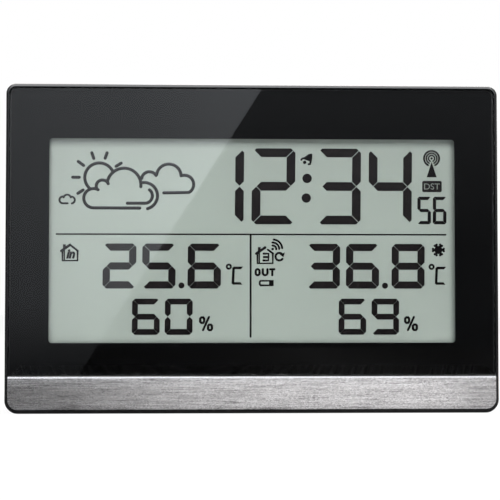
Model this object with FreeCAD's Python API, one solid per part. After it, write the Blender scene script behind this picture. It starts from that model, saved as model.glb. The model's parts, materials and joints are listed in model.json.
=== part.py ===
import FreeCAD
import Part

import math
import os

# A home weather station for a table or a wall: a flat black case, 132 mm wide, with a glossy front lens over a
# segment display, a brushed aluminium trim strip below it, and a rear cover that holds two AA cells behind a
# swinging door, six rear keys, a snooze bar on top, a fold-out stand and a keyhole for a wall screw.
#
# The row frame: X to the right as seen from the front, Y backwards, Z up. The origin lies on the underside, halfway
# back. "depth" below is measured backwards from the front face of the case rim. All sizes are in millimetres.

# ---------------------------------------------------------------- Case
case_width = 132.0
case_height = 88.0
housing_depth = 11.0            # front housing, up to the parting line
wall = 1.8
top_corner_radius = 2.6
bottom_corner_radius = 3.6
front_edge_radius = 0.75
seam_chamfer = 0.25
rear_setback = 1.5              # the rear cover stands in from the front housing by this, except at the base
rear_top_corner_radius = 7.0
rear_bottom_corner_radius = 4.5
rear_edge_radius = 3.0
flange_thickness = 1.5          # the housing's rear flange, on which the rear cover sits
lip_height = 1.6
lip_thickness = 0.9
fit_gap = 0.1                   # between parts that slide into each other
smallest_radius = 0.3

# ---------------------------------------------------------------- Lens, mask and trim strip
rim_width = 0.8
base_rim = 1.0                  # the rim under the trim strip
lens_thickness = 2.0
lens_bevel = 0.3
panel_gap = 0.12                # round the lens and the strip
mask_thickness = 0.1
tape_thickness = 0.2
tape_width = 2.4
window_side_margin = 11.4
window_top_margin = 14.4
window_height_above_base = 18.7
window_radius = 0.9
strip_top = 9.85
strip_thickness = 1.2
strip_proud = 0.4               # the strip's face stands in front of the rim
strip_chamfer = 0.45
strip_lens_gap = 0.25
ledge_thickness = 1.2           # the housing wall that carries the lens
ledge_clearance = 1.2           # the housing's opening is larger than the window by this on each side

# ---------------------------------------------------------------- Display
gasket_thickness = 0.5
gasket_width = 1.4
polarizer_thickness = 0.2
glass_thickness = 1.1
lcd_border = 2.8                # glass beyond the window on each side
contact_ledge = 2.6             # bare strip along the front glass's long edges
guide_thickness = 2.0
guide_end_gap = 2.6             # room for the lamps beside the light guide
led_size = 1.6
led_rise = 16.0                 # the lamps' height above and below the display's middle
zebra_width = 1.8
holder_wall = 1.2
holder_plate = 1.2
holder_clearance = 0.2

# ---------------------------------------------------------------- Boards
board_thickness = 1.6
board_margin = 3.0              # board beyond the zebra strips
holder_screw_drop = 3.0         # from the holder's edge to its screws
ear_width = 7.0
ear_end = 2.7
holder_screw_inset = 11.15      # from the display's ends to the outer screws
board_bay_gap = 7.5             # from the main board to the battery bay
board_side = 6.0                # board beyond the middle screws
small_post_radius = 2.4
small_screw_radius = 1.0
small_screw_end = 0.5           # from the screws' tips to the bottom of their bores
small_head_radius = 2.0
small_head_height = 0.8
screw_clearance = 0.15
pilot_shrink = 0.15             # pilot holes are smaller than the screw by this, and the thread bites
key_board_thickness = 1.2
key_board_border = 4.0

# ---------------------------------------------------------------- Case screws
case_screw_inset = 10.0         # from the case's sides
case_screw_low = 7.6
case_screw_drop = 7.3           # from the case's top
case_screw_radius = 1.3
case_screw_length = 9.0
case_head_radius = 2.3
case_head_height = 1.8
case_post_radius = 2.7
case_tube_radius = 3.4
case_head_depth = 3.0           # wall of the tube's end under the screw head

# ---------------------------------------------------------------- Battery bay and door
cell_diameter = 14.2
cell_length = 50.5
cell_nub_radius = 2.7
cell_nub_height = 1.3
cell_edge = 0.6
cell_gap = 0.6
bay_side_margin = 6.3           # from the case's side to the bay
bay_wall = 2.0
bay_floor = 1.2
contact_thickness = 0.4
contact_size = 10.0
contact_bump = 0.4
spring_height = 4.2
spring_radius = 3.6
spring_wire_radius = 0.4
spring_turns = 3.0
door_thickness = 1.6
door_ledge = 1.2                # the door covers the bay's edge by this
door_gap = 0.2
door_corner_radius = 1.5
door_edge_radius = 0.3
tongue_width = 7.0
tongue_thickness = 1.2
tongue_reach = 1.5
tongue_spacing = 18.0
latch_width = 12.0
latch_height = 4.6
latch_plate = 1.0
latch_depth = 4.0
grip_ridge_radius = 0.35
grip_ridges = 4
grip_pitch = 2.0
grip_drop = 4.0                 # from the door's top to the first ridge

# ---------------------------------------------------------------- Stand
stand_width = 0.3 * case_width
stand_thickness = 3.2
stand_gap = 0.2                 # in front of and behind the folded stand
stand_side_gap = 0.5
stand_hinge_height = case_height * 23 / 44
stand_foot_gap = 0.6            # from the base plane to the folded stand's foot
stand_open_angle = 25.0
stand_corner_radius = 3.0
stand_foot_radius = 1.2
heel_stop_gap = 0.05            # left between the heel and the cover when the stand is open
stand_pocket_depth = 1.4
stand_pocket_border = 3.0
stand_rib = 1.6
heel_width = 16.0
heel_height = 3.5
stand_notch_radius = 7.0
stand_notch_depth = 2.6
stand_pin_radius = 1.0
stand_pin_clearance = 0.06
tray_wall = 1.5
ear_block = 4.0                 # the pin's seat beside the stand
ear_block_half_height = 3.0

# ---------------------------------------------------------------- Rear keys
key_names = ("set_key", "alarm_key", "channel_key", "up_key", "down_key", "unit_key")
key_field_inset = case_width * 2 / 11   # from the case's side to the middle of the keys
key_column_pitch = case_width / 8.8
key_row_pitch = case_height * 7 / 44
key_rows = 3
key_middle_height = case_height / 2.2
key_width = 0.64 * key_column_pitch
key_height = 6.0
key_rise = 0.8
key_edge_radius = 0.4
key_gap = 0.2
key_flange = 1.0
key_flange_thickness = 1.2
key_stem_radius = 1.6
key_stem_length = 0.8
key_travel = 0.5
key_panel_depth = 1.0
key_panel_border = 4.6
key_panel_radius = 3.0
switch_size = 6.0
switch_height = 3.5
plunger_radius = 1.7
plunger_rise = 0.6
plunger_seat = 1.2              # length of the plunger inside the switch
plunger_clearance = 0.05
key_post_radius = 2.2
key_post_spread = 13.5

# ---------------------------------------------------------------- Snooze bar
snooze_width = 34.0
snooze_length = 9.0
snooze_depth = 13.6             # depth of the bar's front edge
snooze_rise = 0.9
snooze_corner_radius = 2.0
snooze_edge_radius = 0.5
snooze_flange = 0.8
snooze_flange_thickness = 1.0
snooze_stem_radius = 1.3
snooze_stem_length = 1.5
snooze_travel = 0.6
snooze_plunger_rise = 0.7

# ---------------------------------------------------------------- Keyhole
keyhole_radius = 4.0
keyhole_drop = 17.0             # from the cover's top to the middle of the round entry
keyhole_slot_radius = 2.1
keyhole_slot_rise = 7.0
keyhole_pocket_depth = 5.0
keyhole_pocket_margin = 0.8
keyhole_pocket_wall = 1.2

# ---------------------------------------------------------------- Vents, buzzer, aerials
vent_count = 8
vent_pitch = 4.0
vent_width = 1.6
vent_margin = 2.25              # solid wall above and below the vents
buzzer_radius = 6.0
buzzer_thickness = 3.2
buzzer_height_above_base = 10.3
buzzer_ring = 1.0
buzzer_ring_height = 2.7
sound_hole_radius = 0.7
sound_hole_spread = 3.0
sound_hole_count = 6
ferrite_radius = 4.0
ferrite_length = 48.0
ferrite_offset = -6.0
ferrite_height = 7.4
ferrite_gap = 0.3               # from the winding to the stand's recess
coil_thickness = 0.9
coil_length = 18.0
clip_thickness = 1.6
clip_inset = 4.0                # from the rod's ends to the clips
clip_rise = 1.5                 # the clips grip above the rod's middle
module_width = 16.0
module_height = 11.0
module_thickness = 1.0
module_stand_off = 2.0
module_gap = 4.2                # from the key board
module_drop = 12.6              # from the rear glass's top
module_row_inset = 2.0
module_row_height = 2.4
can_width = 7.0
can_offset = 1.6
can_length = 6.0
can_height = 1.6
can_inset = 3.4
aerial_radius = 2.2
aerial_wire_radius = 0.35
aerial_pitch = 1.5
aerial_turns = 6.0
aerial_inset = 0.5
sensor_inset = 12.0             # from the board's right edge
sensor_size = 5.0
sensor_height = 2.0
processor_radius = 7.0
processor_rise = 1.6
chip_width = 5.0
chip_height = 4.0
chip_thickness = 1.5
chip_leg_reach = 1.0
chip_leg_pitch = 1.27
chip_leg_width = 0.4
chip_legs = 4
capacitor_radius = 2.5
capacitor_height = 6.0
capacitor_pitch = 7.0
capacitor_inset = 13.0          # from the board's right edge
capacitor_drop = 15.0
capacitor_edge_radius = 0.5
crystal_radius = 1.0
crystal_length = 6.0
crystal_offset = 12.0
crystal_foot = 1.0
resistor_length = 2.0
resistor_width = 1.2
resistor_thickness = 0.6
resistor_pitch = 3.2
resistor_columns = 2
resistor_rows = 5
header_pitch = 2.54
header_pins = 6
header_body = 2.5
header_pin_half = 0.3
header_drop = 3.0               # from the key board's top
lead_radius = 0.6
lead_standoff = 2.6
lead_rise = 3.0                 # the leads' height over the board beside their pads
pad_inset = 3.0
pad_pitch = 3.0
pad_rise = 4.0
lug_width = 2.4
lug_offset = 2.5                # from the cell's middle

# ---------------------------------------------------------------- Planes worked out from the sizes above
half_width = case_width / 2
window_width = case_width - 2 * window_side_margin
window_height = case_height - window_height_above_base - window_top_margin
lens_back = lens_thickness
lens_floor = lens_back + mask_thickness + tape_thickness
strip_floor = strip_thickness + tape_thickness - strip_proud
ledge_back = lens_floor + ledge_thickness
front_glass_depth = ledge_back + gasket_thickness
rear_glass_depth = front_glass_depth + glass_thickness
rear_polarizer_depth = rear_glass_depth + glass_thickness
guide_depth = rear_polarizer_depth + polarizer_thickness
holder_back_depth = guide_depth + guide_thickness
board_depth = holder_back_depth + holder_plate
board_back = board_depth + board_thickness
bay_inside = board_depth + small_head_height + fit_gap + bay_floor
cell_depth = bay_inside + (cell_gap + cell_diameter) / 2
door_inside = cell_depth + cell_diameter / 2 + door_gap
case_depth = door_inside + door_thickness
rear_inside = case_depth - wall

window_left = -window_width / 2
window_top = window_height_above_base + window_height
display_middle = window_height_above_base + window_height / 2
lcd_half_width = window_width / 2 + lcd_border
lcd_bottom = window_height_above_base - lcd_border
lcd_top = window_top + lcd_border
glass_bottom = lcd_bottom + contact_ledge
glass_top = lcd_top - contact_ledge
holder_half_width = lcd_half_width + holder_clearance + holder_wall
holder_bottom = lcd_bottom - holder_clearance - holder_wall
holder_top = lcd_top + holder_clearance + holder_wall
holder_screw_rows = (holder_bottom - holder_screw_drop, holder_top + holder_screw_drop)
outer_screw_x = lcd_half_width - holder_screw_inset
bay_right = half_width - bay_side_margin
bay_left = bay_right - 2 * cell_diameter - 3 * cell_gap
board_right_edge = bay_left - bay_wall - board_bay_gap
holder_screw_columns = (-outer_screw_x, board_right_edge - board_side, outer_screw_x)
board_screw_columns = holder_screw_columns[:2]
zebra_left = board_screw_columns[0] - board_margin
zebra_right = board_right_edge - board_margin

bay_middle = (bay_left + bay_right) / 2
cell_offset = (cell_diameter + cell_gap) / 2
cell_columns = (bay_middle - cell_offset, bay_middle + cell_offset)
bay_length = 2 * contact_thickness + contact_bump + cell_length + spring_height + fit_gap
bay_bottom = (case_height - bay_length) / 2
bay_top = bay_bottom + bay_length
door_left = bay_left - door_ledge
door_right = bay_right + door_ledge
door_bottom = bay_bottom - door_ledge
door_top = bay_top + door_ledge

stand_back = case_depth - stand_gap
stand_front = stand_back - stand_thickness
tray_floor = stand_front - stand_gap
stand_pin_depth = (stand_front + stand_back) / 2
tray_half_width = stand_width / 2 + stand_side_gap
ferrite_depth = tray_floor - tray_wall - ferrite_gap - coil_thickness - ferrite_radius
tray_top = stand_hinge_height + heel_height + 2 * stand_side_gap

panel_floor = case_depth - key_panel_depth
panel_inside = panel_floor - wall
key_flange_back = panel_inside - fit_gap
key_flange_front = key_flange_back - key_flange_thickness
key_stem_front = key_flange_front - key_stem_length
switch_top = key_stem_front - plunger_rise
key_board_back = switch_top - switch_height
key_board_front = key_board_back - key_board_thickness
key_middle = -half_width + key_field_inset
key_columns = (key_middle - key_column_pitch / 2, key_middle + key_column_pitch / 2)
key_row_heights = [key_middle_height + (1 - row) * key_row_pitch for row in range(key_rows)]
key_spots = [(x, z) for x in key_columns for z in key_row_heights]
key_post_spots = [(key_middle + side * key_post_spread, key_middle_height + up * key_row_pitch / 2)
                  for side in (-1, 1) for up in (-1, 1)]
key_board_left = key_middle - key_post_spread - key_post_radius - fit_gap
key_board_right = key_middle + key_post_spread + key_post_radius + fit_gap
key_board_low = key_row_heights[-1] - key_board_border
key_board_high = key_row_heights[0] + key_board_border

cover_top = case_height - rear_setback
cover_top_inside = cover_top - wall
snooze_top = cover_top + snooze_rise
snooze_flange_top = cover_top_inside - fit_gap
snooze_flange_low = snooze_flange_top - snooze_flange_thickness
snooze_stem_low = snooze_flange_low - snooze_stem_length
snooze_switch_top = snooze_stem_low - snooze_plunger_rise
snooze_switch_depth = board_back + switch_size / 2

case_screw_spots = [(side * (half_width - case_screw_inset), z) for side in (-1, 1)
                    for z in (case_screw_low, case_height - case_screw_drop)]
keyhole_height = cover_top - keyhole_drop
keyhole_slot_top = keyhole_height + keyhole_slot_rise
keyhole_side = keyhole_radius + keyhole_pocket_margin
vent_low = tray_top + tray_wall + vent_margin
vent_high = keyhole_height - keyhole_side - keyhole_pocket_wall - vent_margin
vent_middle_height = (vent_low + vent_high) / 2

module_x = key_board_right + module_gap + module_width / 2
module_z = glass_top - module_drop
module_low = module_z - module_height / 2
sensor_x = board_right_edge - sensor_inset
upper_chip_z = module_low - chip_height / 2 - 1.5 * chip_leg_reach
processor_x = module_x
processor_z = upper_chip_z - processor_radius - chip_height / 2 - chip_leg_reach
lower_chip_z = processor_z - 2 * processor_radius


# ---------------------------------------------------------------- Shape helpers
def spot(x, depth, z):
    """A point of the row frame, from a depth behind the rim's front face."""
    return FreeCAD.Vector(x, depth - case_depth / 2, z)


def block(x0, x1, d0, d1, z0, z1):
    return Part.makeBox(x1 - x0, d1 - d0, z1 - z0, spot(x0, d0, z0))


def round_y(x, z, radius, d0, d1):
    return Part.makeCylinder(radius, d1 - d0, spot(x, d0, z), FreeCAD.Vector(0, 1, 0))


def round_x(depth, z, radius, x0, x1):
    return Part.makeCylinder(radius, x1 - x0, spot(x0, depth, z), FreeCAD.Vector(1, 0, 0))


def round_z(x, depth, radius, z0, z1):
    return Part.makeCylinder(radius, z1 - z0, spot(x, depth, z0), FreeCAD.Vector(0, 0, 1))


def corner(middle, radius, start_degrees, depth):
    """A quarter-circle edge round a corner's centre, counterclockwise as seen from the front."""
    points = []
    for part in (0.0, 0.5, 1.0):
        angle = math.radians(start_degrees + 90 * part)
        x = middle[0] + radius * math.cos(angle)
        z = middle[1] + radius * math.sin(angle)
        points.append(spot(x, depth, z))
    return Part.Arc(*points).toShape()


def outline(x0, x1, z0, z1, top_radius, bottom_radius, depth):
    """A rectangle with its own radius at the two top corners and at the two bottom corners."""
    top = max(top_radius, 0)
    low = max(bottom_radius, 0)
    runs = [((x0 + low, z0), (x1 - low, z0)), ((x1, z0 + low), (x1, z1 - top)),
            ((x1 - top, z1), (x0 + top, z1)), ((x0, z1 - top), (x0, z0 + low))]
    arcs = [((x1 - low, z0 + low), low, -90), ((x1 - top, z1 - top), top, 0),
            ((x0 + top, z1 - top), top, 90), ((x0 + low, z0 + low), low, 180)]
    edges = []
    for (start, end), (middle, radius, turn) in zip(runs, arcs):
        if math.dist(start, end) > 1e-6:
            line = Part.LineSegment(spot(start[0], depth, start[1]), spot(end[0], depth, end[1]))
            edges.append(line.toShape())
        if radius > 0:
            edges.append(corner(middle, radius, turn, depth))
    return Part.Wire(edges)


def slab(x0, x1, z0, z1, top_radius, bottom_radius, d0, d1):
    """A plate parallel to the front, with rounded corners."""
    face = Part.Face(outline(x0, x1, z0, z1, top_radius, bottom_radius, d0))
    return face.extrude(FreeCAD.Vector(0, d1 - d0, 0))


def housing_slab(inset, d0, d1):
    """The front housing's outline, drawn in by inset on every side."""
    return slab(-half_width + inset, half_width - inset, inset, case_height - inset,
                max(top_corner_radius - inset, smallest_radius), max(bottom_corner_radius - inset, smallest_radius),
                d0, d1)


def cover_slab(inset, d0, d1):
    """The rear cover's outline, drawn in by inset on every side."""
    side = half_width - rear_setback - inset
    return slab(-side, side, inset, cover_top - inset, max(rear_top_corner_radius - inset, smallest_radius),
                max(rear_bottom_corner_radius - inset, smallest_radius), d0, d1)


def edges_at_depth(shape, depth):
    y = depth - case_depth / 2
    return [e for e in shape.Edges if abs(e.BoundBox.YMin - y) < 1e-4 and abs(e.BoundBox.YMax - y) < 1e-4]


def edges_at_height(shape, z):
    return [e for e in shape.Edges if abs(e.BoundBox.ZMin - z) < 1e-4 and abs(e.BoundBox.ZMax - z) < 1e-4]


def upright_column(x0, x1, d0, d1, radius, z0, z1):
    """A block with its four upright edges rounded."""
    body = block(x0, x1, d0, d1, z0, z1)
    upright = [e for e in body.Edges if e.BoundBox.ZLength > (z1 - z0) / 2]
    return body.makeFillet(radius, upright)


def joined(pieces):
    whole = pieces[0]
    for piece in pieces[1:]:
        whole = whole.fuse(piece)
    return whole.removeSplitter()


def without(body, cuts):
    for cut in cuts:
        body = body.cut(cut)
    return body


def small_screw(x, z, head_depth, tip_depth):
    """A pan-head screw seated at head_depth, with a driver cross in its head."""
    head = round_y(x, z, small_head_radius, head_depth, head_depth + small_head_height)
    rim = edges_at_depth(head, head_depth + small_head_height)
    head = head.makeFillet(small_head_height / 3, rim)
    shank = round_y(x, z, small_screw_radius - pilot_shrink, tip_depth, head_depth)
    cross = driver_cross(x, z, small_head_radius, head_depth + small_head_height)
    return head.fuse(shank).cut(cross).removeSplitter()


def driver_cross(x, z, head_radius, top):
    """The cross-shaped recess that is cut from a screw's head."""
    arm = head_radius * 0.55
    half = head_radius * 0.13
    sink = head_radius * 0.35
    return block(x - arm, x + arm, top - sink, top + 1, z - half, z + half).fuse(
        block(x - half, x + half, top - sink, top + 1, z - arm, z + arm))


def coil_spring(middle, radius, wire_radius, height, turns, direction):
    """A wire coil from middle along direction; height is the wire's centre line's, and the wire has eight sides."""
    helix = Part.makeHelix(height / turns, height, radius)
    rise = height / turns / (2 * math.pi * radius)
    across = FreeCAD.Vector(0, -rise, 1).normalize()
    points = []
    for side in range(9):
        angle = math.pi * side / 4
        points.append(FreeCAD.Vector(radius + wire_radius * math.cos(angle), 0, 0)
                      + across * (wire_radius * math.sin(angle)))
    coil = Part.Wire(helix).makePipeShell([Part.makePolygon(points)], True, True)
    turn = FreeCAD.Rotation(FreeCAD.Vector(0, 0, 1), direction)
    coil.Placement = FreeCAD.Placement(middle, turn)
    return coil


def wire_lead(points, radius):
    """A round lead through the points, with an arc at each corner that takes 0.45 of the shorter run beside it."""
    edges = []
    start = points[0]
    for i in range(1, len(points) - 1):
        before = points[i - 1] - points[i]
        after = points[i + 1] - points[i]
        reach = 0.45 * min(before.Length, after.Length)
        before.normalize()
        after.normalize()
        arc_start = points[i] + before * reach
        arc_end = points[i] + after * reach
        half_turn = (math.pi - before.getAngle(after)) / 2
        bend_radius = reach / math.tan(half_turn)
        bisector = (before + after).normalize()
        to_centre = reach / math.sin(half_turn) if half_turn > 0 else 0
        arc_middle = points[i] + bisector * (to_centre - bend_radius)
        edges.append(Part.LineSegment(start, arc_start).toShape())
        edges.append(Part.Arc(arc_start, arc_middle, arc_end).toShape())
        start = arc_end
    edges.append(Part.LineSegment(start, points[-1]).toShape())
    path = Part.Wire(edges)
    section = Part.Circle(points[0], points[1] - points[0], radius).toShape()
    return path.makePipeShell([Part.Wire(section)], True, False)


# ---------------------------------------------------------------- Front
def front_lens():
    inset = rim_width + panel_gap
    lens = slab(-half_width + inset, half_width - inset, strip_top + strip_lens_gap, case_height - inset,
                max(top_corner_radius - inset, smallest_radius), 0, 0, lens_thickness)
    return lens.makeChamfer(lens_bevel, edges_at_depth(lens, 0))


def lens_mask():
    """The black print on the lens's back, with the clear window left out."""
    inset = rim_width + panel_gap + lens_bevel
    film = slab(-half_width + inset, half_width - inset, strip_top + strip_lens_gap + lens_bevel,
                case_height - inset, max(top_corner_radius - inset, smallest_radius), 0,
                lens_back, lens_back + mask_thickness)
    return film.cut(slab(window_left, -window_left, window_height_above_base, window_top, window_radius,
                         window_radius, lens_back - 1, lens_back + 1))


def lens_tape():
    """Double-sided tape round the edge of the lens."""
    inset = rim_width + panel_gap + lens_bevel
    side = half_width - inset
    low = strip_top + strip_lens_gap + lens_bevel
    high = case_height - inset
    front = lens_back + mask_thickness
    ring = slab(-side, side, low, high, max(top_corner_radius - inset, smallest_radius), 0, front, lens_floor)
    return ring.cut(block(-side + tape_width, side - tape_width, front - 1, lens_floor + 1,
                          low + tape_width, high - tape_width))


def strip_outline_slab(extra_inset, d0, d1):
    side = half_width - rim_width - panel_gap - extra_inset
    return slab(-side, side, base_rim + panel_gap + extra_inset, strip_top - extra_inset, 0,
                max(bottom_corner_radius - rim_width - panel_gap - extra_inset, smallest_radius), d0, d1)


def trim_strip():
    strip = strip_outline_slab(0, -strip_proud, strip_thickness - strip_proud)
    top_edge = [e for e in edges_at_depth(strip, -strip_proud) if e.BoundBox.ZMin > strip_top - 1e-3]
    return strip.makeChamfer(strip_chamfer, top_edge)


def trim_tape():
    return strip_outline_slab(tape_width / 4, strip_thickness - strip_proud, strip_floor)


def front_housing():
    body = housing_slab(0, 0, housing_depth)
    body = body.makeFillet(front_edge_radius, edges_at_depth(body, 0))
    body = body.makeChamfer(seam_chamfer, edges_at_depth(body, housing_depth))
    lens_well = slab(-half_width + rim_width, half_width - rim_width, strip_top + panel_gap,
                     case_height - rim_width, max(top_corner_radius - rim_width, smallest_radius), 0,
                     -1, lens_floor)
    strip_well = slab(-half_width + rim_width, half_width - rim_width, base_rim, strip_top + panel_gap, 0,
                      max(bottom_corner_radius - rim_width, smallest_radius), -1, strip_floor)
    opening = slab(window_left - ledge_clearance, -window_left + ledge_clearance,
                   window_height_above_base - ledge_clearance, window_top + ledge_clearance,
                   window_radius, window_radius, 0, housing_depth)
    body = without(body, [lens_well, strip_well, opening,
                          housing_slab(wall, ledge_back, housing_depth - flange_thickness),
                          cover_slab(wall, ledge_back, housing_depth + 1)])
    posts = [round_y(x, z, case_post_radius, ledge_back - 0.5, housing_depth) for x, z in case_screw_spots]
    posts += [round_y(x, z, small_post_radius, ledge_back - 0.5, holder_back_depth)
              for x in holder_screw_columns for z in holder_screw_rows]
    bores = [round_y(x, z, case_screw_radius - pilot_shrink, ledge_back + 0.5, housing_depth + 1)
             for x, z in case_screw_spots]
    bores += [round_y(x, z, small_screw_radius - pilot_shrink, ledge_back, holder_back_depth + 1)
              for x in holder_screw_columns for z in holder_screw_rows]
    return without(joined([body] + posts), bores)


# ---------------------------------------------------------------- Display stack
def lcd_plate(inset, low, high, d0, d1):
    return block(-lcd_half_width + inset, lcd_half_width - inset, d0, d1, low, high)


def lcd_gasket():
    ring = lcd_plate(0, lcd_bottom, lcd_top, ledge_back, front_glass_depth)
    return ring.cut(lcd_plate(gasket_width, lcd_bottom + gasket_width, lcd_top - gasket_width,
                              ledge_back - 1, front_glass_depth + 1))


def lcd_front_polarizer():
    inset = gasket_width + panel_gap
    return lcd_plate(inset, lcd_bottom + inset, lcd_top - inset,
                     front_glass_depth - polarizer_thickness, front_glass_depth)


def lcd_front_glass():
    return lcd_plate(0, lcd_bottom, lcd_top, front_glass_depth, rear_glass_depth)


def lcd_rear_glass():
    return lcd_plate(0, glass_bottom, glass_top, rear_glass_depth, rear_polarizer_depth)


def lcd_rear_polarizer():
    inset = panel_gap
    return lcd_plate(inset, glass_bottom + inset, glass_top - inset, rear_polarizer_depth, guide_depth)


def light_guide():
    return block(-lcd_half_width + guide_end_gap, lcd_half_width - panel_gap, guide_depth, holder_back_depth,
                 glass_bottom, glass_top)


def led_spots():
    x = -lcd_half_width + guide_end_gap / 2
    return [(x, display_middle - led_rise), (x, display_middle + led_rise)]


def backlight_leds():
    """Two side lamps at the guide's end, each with a pair of leads down to the board."""
    lamps = []
    for x, z in led_spots():
        half = led_size / 2
        body = block(x - half, x + half, guide_depth + fit_gap, guide_depth + fit_gap + led_size, z - half, z + half)
        leads = [round_y(x, z + side * half / 2, small_screw_radius / 5, guide_depth + led_size, board_depth)
                 for side in (-1, 1)]
        lamps.append(joined([body] + leads))
    return Part.makeCompound(lamps)


def zebra_strips():
    """Rubber contact strips between the front glass's ledges and the board."""
    strips = []
    for middle in (lcd_bottom + contact_ledge / 2, lcd_top - contact_ledge / 2):
        strips.append(block(zebra_left, zebra_right, rear_glass_depth, board_depth,
                            middle - zebra_width / 2, middle + zebra_width / 2))
    return Part.makeCompound(strips)


def lcd_holder():
    """The tray behind the display, held to the front housing by six screws through its ears."""
    front = ledge_back + fit_gap
    plate = block(-holder_half_width, holder_half_width, front, board_depth, holder_bottom, holder_top)
    hollow = block(-lcd_half_width - holder_clearance, lcd_half_width + holder_clearance, front - 1,
                   holder_back_depth, lcd_bottom - holder_clearance, lcd_top + holder_clearance)
    body = plate.cut(hollow)
    low, high = holder_screw_rows
    ears = []
    holes = []
    for x in holder_screw_columns:
        ears.append(block(x - ear_width / 2, x + ear_width / 2, holder_back_depth, board_depth,
                          low - ear_end, holder_bottom + fit_gap))
        ears.append(block(x - ear_width / 2, x + ear_width / 2, holder_back_depth, board_depth,
                          holder_top - fit_gap, high + ear_end))
        holes += [round_y(x, z, small_screw_radius + screw_clearance, holder_back_depth - 1, board_depth + 1)
                  for z in holder_screw_rows]
    for middle in (lcd_bottom + contact_ledge / 2, lcd_top - contact_ledge / 2):
        half = zebra_width / 2 + fit_gap
        holes.append(block(zebra_left - fit_gap, zebra_right + fit_gap, holder_back_depth - 1, board_depth + 1,
                           middle - half, middle + half))
    half = led_size / 2 + fit_gap
    holes += [block(x - half, x + half, holder_back_depth - 1, board_depth + 1, z - half, z + half)
              for x, z in led_spots()]
    return without(joined([body] + ears), holes)


# ---------------------------------------------------------------- Main board and what is on it
def main_board():
    low = holder_screw_rows[0] - small_head_radius - fit_gap
    high = holder_screw_rows[1] + small_head_radius + fit_gap
    middle = block(zebra_left - board_margin / 2, board_right_edge, board_depth, board_back, low, high)
    wing = block(-lcd_half_width, zebra_left, board_depth, board_back, glass_bottom, glass_top)
    holes = [round_y(x, z, small_screw_radius + screw_clearance, board_depth - 1, board_back + 1)
             for x in board_screw_columns for z in holder_screw_rows]
    return without(joined([middle, wing]), holes)


def board_screws():
    """Six screws: four through the board and the holder, two through the holder alone."""
    screws = []
    for x in holder_screw_columns:
        seat = board_back if x in board_screw_columns else board_depth
        screws += [small_screw(x, z, seat, ledge_back + small_screw_end) for z in holder_screw_rows]
    return Part.makeCompound(screws)


def processor():
    """A chip under a low round dome of black resin."""
    ball_radius = (processor_radius ** 2 + processor_rise ** 2) / (2 * processor_rise)
    ball = Part.makeSphere(ball_radius, spot(processor_x, board_back + processor_rise - ball_radius, processor_z))
    return ball.common(round_y(processor_x, processor_z, processor_radius + 1, board_back,
                               board_back + processor_rise + 1))


def board_components():
    """Capacitors, a clock crystal, two small chips and rows of resistors, standing on the board's back."""
    parts = []
    top = board_back + capacitor_height
    for step in range(2):
        x = board_right_edge - capacitor_inset - capacitor_pitch * step
        can = round_y(x, processor_z - capacitor_drop, capacitor_radius, board_back, top)
        parts.append(can.makeFillet(capacitor_edge_radius, edges_at_depth(can, top)))
    x = processor_x - crystal_offset
    low = processor_z - crystal_length
    crystal = round_z(x, board_back + crystal_radius + fit_gap, crystal_radius, low, low + crystal_length)
    half = crystal_radius * 0.7
    foot = block(x - half, x + half, board_back, board_back + crystal_radius + fit_gap, low - crystal_foot,
                 low + crystal_length + crystal_foot)
    parts.append(crystal.fuse(foot).removeSplitter())
    for z in (lower_chip_z, upper_chip_z):
        body = block(processor_x - chip_width / 2, processor_x + chip_width / 2, board_back,
                     board_back + chip_thickness, z - chip_height / 2, z + chip_height / 2)
        legs = []
        for step in range(chip_legs):
            x = processor_x + (step - (chip_legs - 1) / 2) * chip_leg_pitch
            legs.append(block(x - chip_leg_width / 2, x + chip_leg_width / 2, board_back, board_back + chip_leg_width,
                              z - chip_height / 2 - chip_leg_reach, z + chip_height / 2 + chip_leg_reach))
        parts.append(joined([body] + legs))
    for row in range(resistor_rows):
        for column in range(resistor_columns):
            x = processor_x + crystal_offset + 2.5 * resistor_length * column
            z = processor_z - crystal_length + resistor_pitch * row
            parts.append(block(x, x + resistor_length, board_back, board_back + resistor_thickness, z,
                               z + resistor_width))
    return Part.makeCompound(parts)


def radio_module():
    """The receiver's own small board, raised on its pin row, with a shield can."""
    base = board_back + module_stand_off
    top = base + module_thickness
    half = module_width / 2
    board = block(module_x - half, module_x + half, base, top, module_low, module_low + module_height)
    row = block(module_x - half + module_row_inset, module_x + half - module_row_inset, board_back, base,
                module_low, module_low + module_row_height)
    x = module_x + can_offset
    can = block(x - can_width / 2, x + can_width / 2, top, top + can_height, module_low + can_inset,
                module_low + can_inset + can_length)
    return joined([board, row, can])


def radio_antenna():
    """A helical aerial soldered to the top edge of the radio board, with its first turn on the board."""
    axis_depth = board_back + module_stand_off + module_thickness + aerial_radius + aerial_wire_radius
    start = spot(module_x - module_width / 2 + aerial_radius + aerial_inset, axis_depth,
                 module_low + 2 * aerial_inset)
    return coil_spring(start, aerial_radius, aerial_wire_radius, aerial_pitch * aerial_turns, aerial_turns,
                       FreeCAD.Vector(0, 0, 1))


def humidity_sensor():
    """The air sensor behind the vents, a small box with a sensing window."""
    half = sensor_size / 2
    body = block(sensor_x - half, sensor_x + half, board_back, board_back + sensor_height,
                 vent_middle_height - half, vent_middle_height + half)
    return body.cut(round_y(sensor_x, vent_middle_height, half / 2, board_back + sensor_height / 2,
                            board_back + sensor_height + 1))


def snooze_switch():
    """A side-pushed switch on the board's upper edge, open at the top for its plunger."""
    half = switch_size / 2
    body = block(-half, half, board_back, board_back + switch_size, snooze_switch_top - switch_height,
                 snooze_switch_top)
    seat = plunger_seat + snooze_travel + fit_gap
    return body.cut(round_z(0, snooze_switch_depth, plunger_radius + plunger_clearance,
                            snooze_switch_top - seat, snooze_switch_top + 1))


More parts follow.
